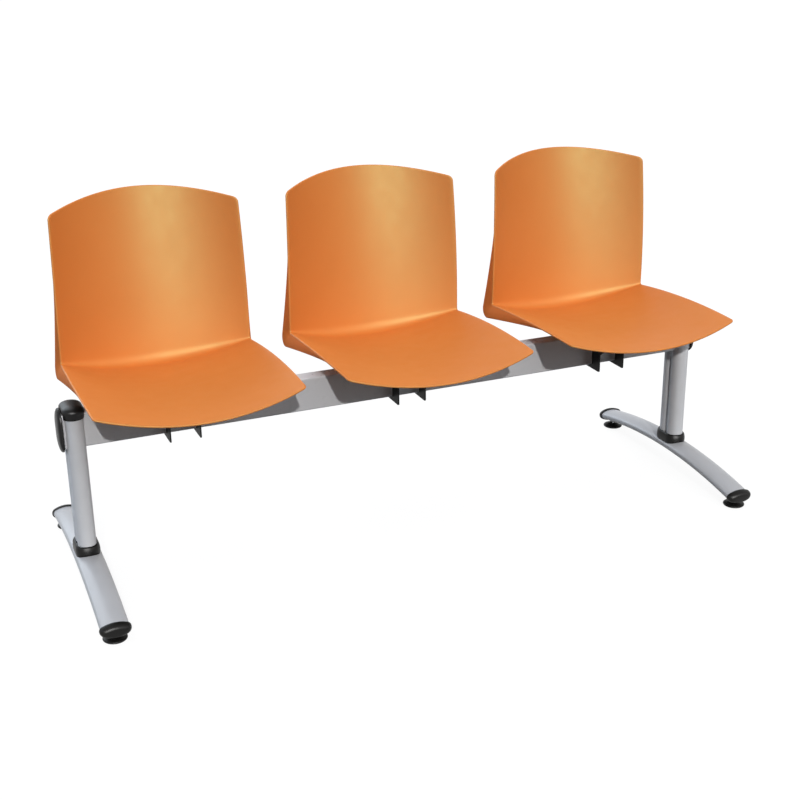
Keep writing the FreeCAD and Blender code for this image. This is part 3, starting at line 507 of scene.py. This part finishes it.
def cheek_outline():
    """The cheek's free edge with the station of the shell's edge that each of its points belongs to."""
    heel = Vector((CREASE_WIDTH / 2 + CHEEK_FLARE, FOLD_EDGE.y + CHEEK_REACH, FOLD_EDGE.z - CHEEK_DEPTH))
    front, top = cheek_edge(CHEEK_START), cheek_edge(CHEEK_END)
    along_pan = (cheek_edge(1) - cheek_edge(0.98)).normalized()
    along_back = (cheek_edge(2.02) - cheek_edge(2)).normalized()
    sole = (front, front + along_pan * (CHEEK_FORWARD / 4), heel)
    spine = (heel, top - along_back * (CHEEK_UPWARD / 4), top)
    sole_way = (sole[1] - heel).normalized()
    spine_way = (spine[1] - heel).normalized()
    run = CHEEK_ROUND / math.tan(sole_way.angle(spine_way) / 2)
    sole_end = 1 - run / (2 * (heel - sole[1]).length)
    spine_start = run / (2 * (spine[1] - heel).length)
    start, end = quadratic(*sole, sole_end), quadratic(*spine, spine_start)
    side_steps, heel_steps = 40, 16
    points = []
    for step in range(side_steps):
        share = step / side_steps
        points.append((quadratic(*sole, sole_end * share), CHEEK_START + (1 - CHEEK_START) * share))
    for step in range(heel_steps):
        share = step / heel_steps
        points.append((arc_between(start, heel, end, share), 1 + share))
    for step in range(side_steps + 1):
        share = step / side_steps
        along = 2 + (CHEEK_END - 2) * share
        points.append((quadratic(*spine, spine_start + (1 - spine_start) * share), along))
    return points


def make_cheek(vertices, faces, sign):
    """A flared wall under the seat's side and behind the foot of the backrest, with a rounded free edge."""
    ribs = 10
    edge_steps = 6
    radius = CHEEK_WALL / 2
    loops = []
    for outer, along in cheek_outline():
        inner = cheek_edge(along)
        span = outer - inner
        reach = max(span.length - radius, 0)
        way = span.normalized() if span.length > 1e-6 else Vector((0, 1, -1)).normalized()
        bulge = CHEEK_BULGE * min(span.length / CHEEK_DEPTH, 1)
        side = []
        for rib in range(ribs + 1):
            share = rib / ribs
            swell = Vector((4 * bulge * share * (1 - share), 0, 0))
            side.append(inner + way * (reach * share) + swell)
        for step in range(1, edge_steps):
            turn = math.pi * step / edge_steps
            inward = Vector((-radius * (1 - math.cos(turn)), 0, 0))
            side.append(inner + way * (reach + radius * math.sin(turn)) + inward)
        for rib in range(ribs, -1, -1):
            share = rib / ribs
            swell = Vector((4 * bulge * share * (1 - share) - CHEEK_WALL, 0, 0))
            side.append(inner + way * (reach * share) + swell)
        loop = []
        for point in side:
            vertices.append(Vector((sign * point.x, point.y, point.z)))
            loop.append(len(vertices) - 1)
        loops.append(loop)
    join_loops(faces, loops, flip=sign > 0)


def make_rails(vertices, faces):
    """Two rails under the seat that stand on the bracket and reach into the wall."""
    stations, halvings = 12, 25
    for sign in (-1, 1):
        loops = []
        for station in range(stations + 1):
            y = RAIL_LENGTH * (station / stations - 0.5)
            low, high = 0.0, 1.0
            for _ in range(halvings):
                share = (low + high) / 2
                if face_point(0.2 * sign, share).y < y:
                    low = share
                else:
                    high = share
            top = face_point(0.1 * sign, low).z - WALL / 2
            loop = []
            for x, z in ((-1, bracket_top), (1, bracket_top), (1, top), (-1, top)):
                vertices.append(Vector((sign * RAIL_SPACING / 2 + x * RAIL_WIDTH / 2, y, z)))
                loop.append(len(vertices) - 1)
            loops.append(loop)
        join_loops(faces, loops)


def make_shells():
    """Each shell as its wall, which takes the sheen, and the duller rails and cheeks."""
    parts = (
        ("wall", make_wall, (), orange),
        ("rails", make_rails, (), orange_matte),
        ("cheek_left", make_cheek, (-1,), orange_matte),
        ("cheek_right", make_cheek, (1,), orange_matte),
    )
    for name in SEATS:
        shift = Vector((seat_x[name], 0, 0))
        for part, maker, hand, material in parts:
            vertices, faces = [], []
            maker(vertices, faces, *hand)
            places = [vertex + shift for vertex in vertices]
            piece = mesh_object(f"seat_{name}_{part}", places, faces, material)
            carry(piece, "shell_plastic", f"seat_shell_{name}")


# Feet

# The foot tube's oval: two nose arcs round (+-reach, 0) and two flat arcs round (0, -+drop)
OVAL_REACH = BAR_WIDTH / 2 - BAR_NOSE
OVAL_FLAT = (OVAL_REACH ** 2 + (BAR_HEIGHT / 2) ** 2 - BAR_NOSE ** 2) / (BAR_HEIGHT - 2 * BAR_NOSE)
OVAL_DROP = OVAL_FLAT - BAR_HEIGHT / 2


def oval_points(grow=0.0):
    """The oval as (across, up), grown all round."""
    slope = math.atan2(OVAL_DROP, OVAL_REACH)
    points = []
    arc_steps = 18
    arcs = (
        ((OVAL_REACH, 0), BAR_NOSE + grow, -slope, slope),
        ((0, -OVAL_DROP), OVAL_FLAT + grow, slope, math.pi - slope),
        ((-OVAL_REACH, 0), BAR_NOSE + grow, math.pi - slope, math.pi + slope),
        ((0, OVAL_DROP), OVAL_FLAT + grow, math.pi + slope, 2 * math.pi - slope),
    )
    for (x, z), radius, start, end in arcs:
        for step in range(arc_steps):
            turn = start + (end - start) * step / arc_steps
            points.append((x + radius * math.cos(turn), z + radius * math.sin(turn)))
    return points


def oval_top(x):
    """Height of the oval's upper side above its centre."""
    touch = OVAL_REACH * (1 + BAR_NOSE / math.hypot(OVAL_REACH, OVAL_DROP))
    if abs(x) < touch:
        return math.sqrt(OVAL_FLAT ** 2 - x ** 2) - OVAL_DROP
    return math.sqrt(max(BAR_NOSE ** 2 - (abs(x) - OVAL_REACH) ** 2, 0))


ARCH_RADIUS = (BAR_HALF_LENGTH ** 2 + ARCH_RISE ** 2) / (2 * ARCH_RISE)
ARCH_TURN = math.asin(BAR_HALF_LENGTH / ARCH_RADIUS)
BAR_MIDDLE_Z = BAR_END_Z + ARCH_RISE


def bar_place(turn, across, up):
    """A point of the arched bar: turn from its middle, then across and up from the centre line."""
    radius = ARCH_RADIUS + up
    return Vector((across, radius * math.sin(turn), BAR_MIDDLE_Z - ARCH_RADIUS + radius * math.cos(turn)))


def make_foot_bar(side):
    shift = Vector((post_x[side], 0, 0))
    stations = 64
    rings = []
    for station in range(stations + 1):
        turn = ARCH_TURN * (2 * station / stations - 1)
        rings.append([bar_place(turn, *point) + shift for point in oval_points()])
    piece = rings_object(f"foot_bar_{side}_look", rings, bar_silver)
    carry(piece, "foot_steel", f"foot_bar_{side}")


def make_foot_cap(end, side):
    """A bulging cap with a thin lip round the tube's end, and the nut that takes the glide's stud."""
    way = ENDS[end]
    shift = Vector((post_x[side], 0, 0))
    turn = way * ARCH_TURN
    out = Vector((0, way * math.cos(turn), -way * math.sin(turn)))
    rings = []
    for depth, grow, lift in (
        (0, 0.1 * MM, 0),
        (0, 0.9 * CAP_LIP, CAP_LIFT),
        (0.8 * MM, CAP_LIP, CAP_LIFT),
        (CAP_EDGE, CAP_LIP, CAP_LIFT),
    ):
        rings.append([
            bar_place(turn, across, up + lift) + out * depth + shift for across, up in oval_points(grow)
        ])
    steps = 14
    for step in range(1, steps):
        share = step / steps
        height = CAP_EDGE + (CAP_DEPTH - CAP_EDGE) * math.sin(share * math.pi / 2)
        scale = math.cos(share * math.pi / 2) ** 0.42
        rings.append([
            bar_place(turn, across * scale, up * scale + CAP_LIFT) + out * height + shift
            for across, up in oval_points(CAP_LIP)
        ])
    piece = rings_object(f"foot_cap_{end}_{side}_look", rings, black_plastic)
    carry(piece, "black_plastic", f"foot_cap_{end}_{side}")
    nut_top = BAR_END_Z - BAR_HEIGHT / 2 - NUT_DROP + NUT_HEIGHT
    nut = make_hex_bolt(
        f"glide_nut_{end}_{side}", Vector((post_x[side], glide_y[end], nut_top)), (0, 0, 1),
        size=NUT_SIZE, head=NUT_HEIGHT, shank=12 * MM, shank_length=1 * MM,
    )
    carry(nut, "foot_steel", f"foot_bar_{side}")


def lathe(name, profile, centre, material):
    """A round piece from its (radius, height) profile."""
    count = 64
    rings = []
    for radius, height in profile:
        ring = []
        for step in range(count):
            turn = 2 * math.pi * step / count
            ring.append(Vector((radius * math.cos(turn), radius * math.sin(turn), height)) + centre)
        rings.append(ring)
    return rings_object(name, rings, material)


def make_glide(end, side):
    """A round pad with a waisted neck on a threaded stud."""
    node = f"glide_{end}_{side}"
    centre = Vector((post_x[side], glide_y[end], 0))
    profile = [
        (23.2, 0), (24.9, 0.3), (26.0, 1.3), (26.5, 2.6), (26.2, 3.7), (25.1, 4.8), (23.0, 5.7), (20.0, 6.5),
        (17.2, 7.2), (14.6, 8.1), (12.8, 9.0), (11.6, 9.8), (10.6, 10.3), (9.4, 10.4),
    ]
    pad = lathe(f"{node}_pad", [(radius * MM, height * MM) for radius, height in profile], centre, rubber)
    carry(pad, "glide_plastic", node, body=node)
    low, high = 10.2 * MM, 36 * MM
    around, steps_per_turn = 20, 6
    rings = []
    steps = int((high - low) / THREAD_PITCH * steps_per_turn)
    for step in range(steps + 1):
        ring = []
        for point in range(around):
            share = point / around
            wave = (step / steps_per_turn - share) % 1
            reach = STUD_RADIUS - THREAD_DEPTH * abs(2 * wave - 1)
            angle = 2 * math.pi * share
            height = low + (high - low) * step / steps
            ring.append(Vector((reach * math.cos(angle), reach * math.sin(angle), height)) + centre)
        rings.append(ring)
    stud = rings_object(f"{node}_stud", rings, zinc)
    carry(stud, "glide_plastic", node, body=node)


def stadium_points(radius, spacing, count=64):
    """Two half circles joined by straight sides, as (x, y)."""
    points = []
    half = count // 2
    for sign, start in ((1, 0), (-1, math.pi)):
        for step in range(half):
            turn = start + math.pi * step / (half - 1)
            points.append((radius * math.cos(turn), sign * spacing / 2 + radius * math.sin(turn)))
    return points


def make_collar(side):
    """A bulging foot round the post with a rolled upper edge; its lower edge follows the bar."""
    shift = Vector((post_x[side], 0, 0))
    low_corner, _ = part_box(f"post_collar_{side}")
    overhang = post_x[side] - low_corner.x - LOBE_RADIUS
    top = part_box(f"leg_post_{side}")[0].z
    rings = []
    shoulder, start = 2.4 * MM, top + 2.5 * MM
    tuck, tuck_start = 0.9 * MM, 0.8
    for outset, height in ((0.2, -6), (0.2, 1.8), (0.6, 2.7), (1.4, 3.1), (2.4, 2.8)):
        outline = stadium_points(LOBE_RADIUS + outset * MM, LOBE_SPACING)
        rings.append([Vector((x, y, top + height * MM)) + shift for x, y in outline])
    steps = 16
    for step in range(1, steps + 1):
        share = step / steps
        turn = math.pi * (0.08 + 0.72 * share)
        swell = math.sin(min(turn, math.pi / 2)) ** 0.8
        radius = LOBE_RADIUS + shoulder + (overhang - shoulder) * swell
        radius -= tuck * max(share - tuck_start, 0) / 0.2
        ring = []
        for x, y in stadium_points(radius, LOBE_SPACING):
            drop = ARCH_RADIUS - math.sqrt(ARCH_RADIUS ** 2 - y ** 2)
            low = BAR_MIDDLE_Z - drop + oval_top(x)
            ring.append(Vector((x, y, start + (low - start) * share)) + shift)
        rings.append(ring)
    piece = rings_object(f"post_collar_{side}_look", rings, black_plastic, closed=False)
    carry(piece, "black_plastic", f"post_collar_{side}")


def lobed_outline():
    """The post's outline of two overlapping circles, as (x, y), from the waist round the rear lobe."""
    count = 128
    waist = math.asin(LOBE_SPACING / 2 / LOBE_RADIUS)
    points = []
    for sign, start in ((1, -waist), (-1, math.pi - waist)):
        sweep = math.pi + 2 * waist
        for step in range(count // 2):
            turn = start + sweep * step / (count // 2)
            y = sign * LOBE_SPACING / 2 + LOBE_RADIUS * math.sin(turn)
            points.append((LOBE_RADIUS * math.cos(turn), y))
    return points


def make_post(side):
    """A two-lobed post whose upper end is slotted for the beam."""
    low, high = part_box(f"leg_post_{side}")
    shift = Vector((post_x[side], 0, 0))
    inner = beam_high.y + 0.2 * MM
    rings = [[Vector((x, y, z)) + shift for x, y in lobed_outline()] for z in (low.z, beam_low.z)]
    stem = rings_object(f"leg_post_{side}_stem", rings, aluminium)
    carry(stem, "post_aluminium", f"leg_post_{side}")
    for end, way in ENDS.items():
        reach = math.sqrt(LOBE_RADIUS ** 2 - (inner - LOBE_SPACING / 2) ** 2)
        lift = math.asin((inner - LOBE_SPACING / 2) / LOBE_RADIUS)
        outline = [(reach, inner)]
        steps = 48
        for step in range(1, steps):
            turn = lift + (math.pi - 2 * lift) * step / steps
            outline.append((LOBE_RADIUS * math.cos(turn), LOBE_SPACING / 2 + LOBE_RADIUS * math.sin(turn)))
        outline.append((-reach, inner))
        rings = [[Vector((x, way * y, z)) + shift for x, y in outline] for z in (beam_low.z, high.z)]
        prong = rings_object(f"leg_post_{side}_prong_{end}", rings, aluminium)
        carry(prong, "post_aluminium", f"leg_post_{side}")


def make_post_cap(side):
    """A round-topped oval cap with a narrower skirt that leaves room for the beam."""
    low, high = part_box(f"post_cap_{side}")
    centre = Matrix.Translation((post_x[side], 0, beam_high.z))
    radius = (high.x - low.x) / 2
    spacing = (high.y - low.y) - 2 * radius
    rise = high.z - beam_high.z
    shoulder = 7.5 * MM
    profile = [(1.6 * MM, 0.1 * MM), (1.3 * MM, 1.4 * MM), (0.5 * MM, 3.4 * MM), (0, 5.6 * MM), (0, shoulder)]
    steps = 14
    for step in range(1, steps):
        turn = math.pi / 2 * step / steps
        profile.append((radius * (1 - math.cos(turn) ** 0.8), shoulder + (rise - shoulder) * math.sin(turn)))
    rings = []
    for inset, height in profile:
        share = inset / radius
        outline = stadium_points(radius - inset, spacing * (1 - 0.45 * share ** 2))
        rings.append([centre @ Vector((x, y, height)) for x, y in outline])
    cap = rings_object(f"post_cap_{side}_dome", rings, black_plastic)
    carry(cap, "black_plastic", f"post_cap_{side}")
    skirt = beam_high.z - low.z
    inner = beam_high.y + 0.3 * MM
    skirt_radius = radius - 1.6 * MM
    for end, way in ENDS.items():
        outline = [(x, y) for x, y in stadium_points(skirt_radius, spacing, 128) if y * way > inner]
        outline.sort(key=lambda point: -way * point[0])
        rings = []
        for height, shrink in (
            (0.5 * MM, 0.0),
            (1.2 * MM - skirt, 0.3 * MM),
            (0.3 * MM - skirt, 0.7 * MM),
            (-skirt, 1.5 * MM),
        ):
            factor = 1 - shrink / radius
            rings.append([centre @ Vector((x * factor, y * factor, height)) for x, y in outline])
        piece = rings_object(f"post_cap_{side}_skirt_{end}", rings, black_plastic)
        carry(piece, "black_plastic", f"post_cap_{side}")


def make_beam():
    """The rectangular tube with its rounded edges, open at the ends where the plugs sit."""
    corner, steps = 4 * MM, 8
    half_deep, half_tall = beam_high.y - corner, (beam_high.z - beam_low.z) / 2 - corner
    outline = []
    for quarter, (deep, tall) in enumerate(((1, 1), (-1, 1), (-1, -1), (1, -1))):
        for step in range(steps + 1):
            turn = math.pi / 2 * (quarter + step / steps)
            outline.append((
                deep * half_deep + corner * math.cos(turn),
                beam_middle_z + tall * half_tall + corner * math.sin(turn),
            ))
    rings = [[Vector((x, y, z)) for y, z in outline] for x in (beam_low.x, beam_high.x)]
    piece = rings_object("beam_look", rings, beam_silver, sharp_angle=TUBE_SHARP_ANGLE)
    weigh(piece)
    carry(piece, "beam_steel", "beam")


def make_beam_cap(side):
    """An oval domed plug in the beam's end."""
    low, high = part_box(f"beam_end_cap_{side}")
    sign = SIDES[side]
    face = beam_high.x if sign > 0 else beam_low.x
    radius = (high.y - low.y) / 2
    spacing = (high.z - low.z) - 2 * radius
    turn = Matrix(((0, 0, sign, face), (sign, 0, 0, 0), (0, 1, 0, beam_middle_z), (0, 0, 0, 1)))
    depth = high.x - face if sign > 0 else face - low.x
    edge, lip, steps = 2.5 * MM, 0.6 * MM, 12
    outline = stadium_points(radius, spacing)
    rings = [[Vector((x, y, height)) for x, y in outline] for height in (0, edge - lip)]
    for step in range(steps):
        share = step / steps
        scale = math.cos(share * math.pi / 2) ** 0.55
        height = edge + (depth - edge) * math.sin(share * math.pi / 2)
        rings.append([Vector((x * scale, y * scale, height)) for x, y in outline])
    rings = [[turn @ point for point in ring] for ring in rings]
    cap = rings_object(f"beam_end_cap_{side}_look", rings, black_plastic)
    carry(cap, "black_plastic", f"beam_end_cap_{side}")


def make_hex_bolt(name, place, axis, size, head, shank, shank_length):
    """A bolt with a chamfered hexagonal head; its shank starts at the place and runs along the axis.

    The size is the head's width across flats, and the shank is given by its diameter.
    """
    turn = Vector((0, 0, 1)).rotation_difference(Vector(axis)).to_matrix().to_4x4()
    matrix = Matrix.Translation(place) @ turn
    flat = size / 2
    rings = []
    count = 36

    def hex_ring(height, limit):
        ring = []
        for step in range(count):
            angle = 2 * math.pi * step / count
            across = flat / math.cos((angle % (math.pi / 3)) - math.pi / 6)
            reach = min(across, limit)
            ring.append(matrix @ Vector((reach * math.cos(angle), reach * math.sin(angle), height)))
        return ring

    corner = flat / math.cos(math.pi / 6)
    rings.append(hex_ring(-head, flat * 0.92))
    rings.append(hex_ring(-head + 0.25 * (corner - flat), flat))
    rings.append(hex_ring(-head + 0.9 * (corner - flat), corner))
    rings.append(hex_ring(0, corner))
    for height in (0, shank_length):
        ring = []
        for step in range(count):
            angle = 2 * math.pi * step / count
            ring.append(matrix @ Vector((shank / 2 * math.cos(angle), shank / 2 * math.sin(angle), height)))
        rings.append(ring)
    return rings_object(name, rings, zinc, sharp_angle=BOLT_SHARP_ANGLE)


def make_fasteners():
    """Seat screws under each bracket and the jacking bolt in each clamp bar."""
    for name in SEATS:
        x = seat_x[name]
        for end, way in ENDS.items():
            for hand, sign in SIDES.items():
                place = Vector((x + sign * 22 * MM, way * 72 * MM, bracket_top - 3 * MM))
                screw = make_hex_bolt(
                    f"seat_screw_{name}_{end}_{hand}", place, (0, 0, 1),
                    size=8 * MM, head=4 * MM, shank=5 * MM, shank_length=6 * MM,
                )
                carry(screw, "black_steel")
        place = Vector((x, beam_high.y + 22 * MM, beam_middle_z))
        bolt = make_hex_bolt(
            f"clamp_bolt_{name}", place, (0, -1, 0),
            size=13 * MM, head=5.3 * MM, shank=8 * MM, shank_length=22 * MM,
        )
        carry(bolt, "black_steel")


make_shells()
for side in SIDES:
    make_foot_bar(side)
    make_collar(side)
    make_post_cap(side)
    make_beam_cap(side)
    make_post(side)
    for end in ENDS:
        make_foot_cap(end, side)
        make_glide(end, side)
make_beam()
for name in SEATS:
    dress(f"seat_bracket_{name}", black_steel, "black_steel", edge=0.5 * MM, angle=20)
    dress(f"clamp_bar_{name}", black_steel, "black_steel", edge=0.8 * MM, angle=35)
make_fasteners()


# Floor, light and camera

def white_where_seen(nodes, links, plain, white):
    """White to the camera, in reflections and through glass, and the plain shader for all other light."""
    path = nodes.new("ShaderNodeLightPath")
    either = add_node(nodes, "ShaderNodeMath", operation="MAXIMUM")
    third = add_node(nodes, "ShaderNodeMath", operation="MAXIMUM")
    seen = nodes.new("ShaderNodeMixShader")
    links.new(path.outputs["Is Camera Ray"], either.inputs[0])
    links.new(path.outputs["Is Glossy Ray"], either.inputs[1])
    links.new(either.outputs[0], third.inputs[0])
    links.new(path.outputs["Is Transmission Ray"], third.inputs[1])
    links.new(third.outputs[0], seen.inputs["Fac"])
    links.new(plain.outputs[0], seen.inputs[1])
    links.new(white.outputs[0], seen.inputs[2])
    return seen


def make_floor():
    """A pale floor that looks white to the camera and keeps a faint shadow."""
    mesh = bpy.data.meshes.new("floor")
    sides = ((-1, -1), (1, -1), (1, 1), (-1, 1))
    corners = [(x * FLOOR_REACH, y * FLOOR_REACH, FLOOR_LEVEL) for x, y in sides]
    mesh.from_pydata(corners, [], [(0, 1, 2, 3)])
    floor = bpy.data.objects.new("floor", mesh)
    bpy.context.scene.collection.objects.link(floor)
    material = bpy.data.materials.new("floor_white")
    material.use_nodes = True
    nodes, links = material.node_tree.nodes, material.node_tree.links
    nodes.clear()
    matte = add_node(nodes, "ShaderNodeBsdfDiffuse", Color=(0.05, 0.05, 0.05, 1))
    pale = add_node(nodes, "ShaderNodeBsdfDiffuse", Color=(0.85, 0.85, 0.85, 1))
    glow = add_node(nodes, "ShaderNodeEmission", Color=(1, 1, 1, 1), Strength=1.05)
    white = nodes.new("ShaderNodeMixShader")
    white.inputs["Fac"].default_value = FLOOR_GLOW
    links.new(pale.outputs[0], white.inputs[1])
    links.new(glow.outputs[0], white.inputs[2])
    output = nodes.new("ShaderNodeOutputMaterial")
    links.new(white_where_seen(nodes, links, matte, white).outputs[0], output.inputs["Surface"])
    mesh.materials.append(material)


def make_world():
    """White where it is seen; for all other light a soft glow that is strongest overhead."""
    world = bpy.data.worlds.new("studio")
    bpy.context.scene.world = world
    world.use_nodes = True
    nodes, links = world.node_tree.nodes, world.node_tree.links
    nodes.clear()
    way = nodes.new("ShaderNodeTexCoord")
    parts = nodes.new("ShaderNodeSeparateXYZ")
    above = add_node(nodes, "ShaderNodeMath", operation="MAXIMUM")
    above.inputs[1].default_value = 0.0
    steep = add_node(nodes, "ShaderNodeMath", operation="POWER")
    steep.inputs[1].default_value = SKY_FADE
    strength = add_node(nodes, "ShaderNodeMath", operation="MULTIPLY_ADD")
    strength.inputs[1].default_value = SKY_OVERHEAD
    strength.inputs[2].default_value = SKY_AROUND
    fill = add_node(nodes, "ShaderNodeBackground", Color=(0.95, 0.97, 1.0, 1))
    white = add_node(nodes, "ShaderNodeBackground", Color=(1, 1, 1, 1), Strength=1.0)
    links.new(way.outputs["Generated"], parts.inputs["Vector"])
    links.new(parts.outputs["Z"], above.inputs[0])
    links.new(above.outputs[0], steep.inputs[0])
    links.new(steep.outputs[0], strength.inputs[0])
    links.new(strength.outputs[0], fill.inputs["Strength"])
    output = nodes.new("ShaderNodeOutputWorld")
    links.new(white_where_seen(nodes, links, fill, white).outputs[0], output.inputs["Surface"])


def make_sun(name, direction, energy, spread, colour=(1, 1, 1)):
    """A sun lamp that shines in a direction, with its apparent size in degrees."""
    lamp = bpy.data.lights.new(name, "SUN")
    lamp.energy = energy
    lamp.angle = math.radians(spread)
    lamp.color = colour
    holder = bpy.data.objects.new(name, lamp)
    holder.rotation_euler = Vector(direction).to_track_quat("-Z", "Y").to_euler()
    bpy.context.scene.collection.objects.link(holder)
    return holder


def make_camera():
    """The camera at the photograph's place, with its axes worked out from yaw, pitch and roll."""
    forward = Vector((
        math.sin(CAMERA_YAW) * math.cos(CAMERA_PITCH),
        math.cos(CAMERA_YAW) * math.cos(CAMERA_PITCH),
        -math.sin(CAMERA_PITCH),
    ))
    level = Vector((math.cos(CAMERA_YAW), -math.sin(CAMERA_YAW), 0))
    down = forward.cross(level)
    right = level * math.cos(CAMERA_ROLL) + down * math.sin(CAMERA_ROLL)
    up = level * math.sin(CAMERA_ROLL) - down * math.cos(CAMERA_ROLL)
    camera = bpy.data.cameras.new("camera")
    camera.lens = CAMERA_LENS
    camera.sensor_width = 36
    camera.clip_end = 100
    holder = bpy.data.objects.new("camera", camera)
    axes = Matrix((right, up, -forward)).transposed().to_4x4()
    holder.matrix_world = Matrix.Translation(CAMERA_PLACE) @ axes
    bpy.context.scene.collection.objects.link(holder)
    bpy.context.scene.camera = holder


make_floor()
make_world()
make_sun("key", (0.207, 0.854, -0.515), energy=1.4, spread=1.2, colour=(1.0, 0.98, 0.95))
sheen = make_sun("sheen", (0.251, 0.905, -0.342), energy=8.2, spread=48)
sheen.visible_diffuse = False
make_sun("side", (-0.6, 0.65, -0.45), energy=0.75, spread=50)
make_sun("left", (0.80, -0.10, -0.40), energy=0.4, spread=30, colour=(0.5, 0.72, 1.0))
make_sun("back", (0.25, -0.80, -0.50), energy=1.3, spread=40, colour=(0.80, 0.90, 1.0))
make_camera()
bpy.context.scene.view_settings.view_transform = "Standard"
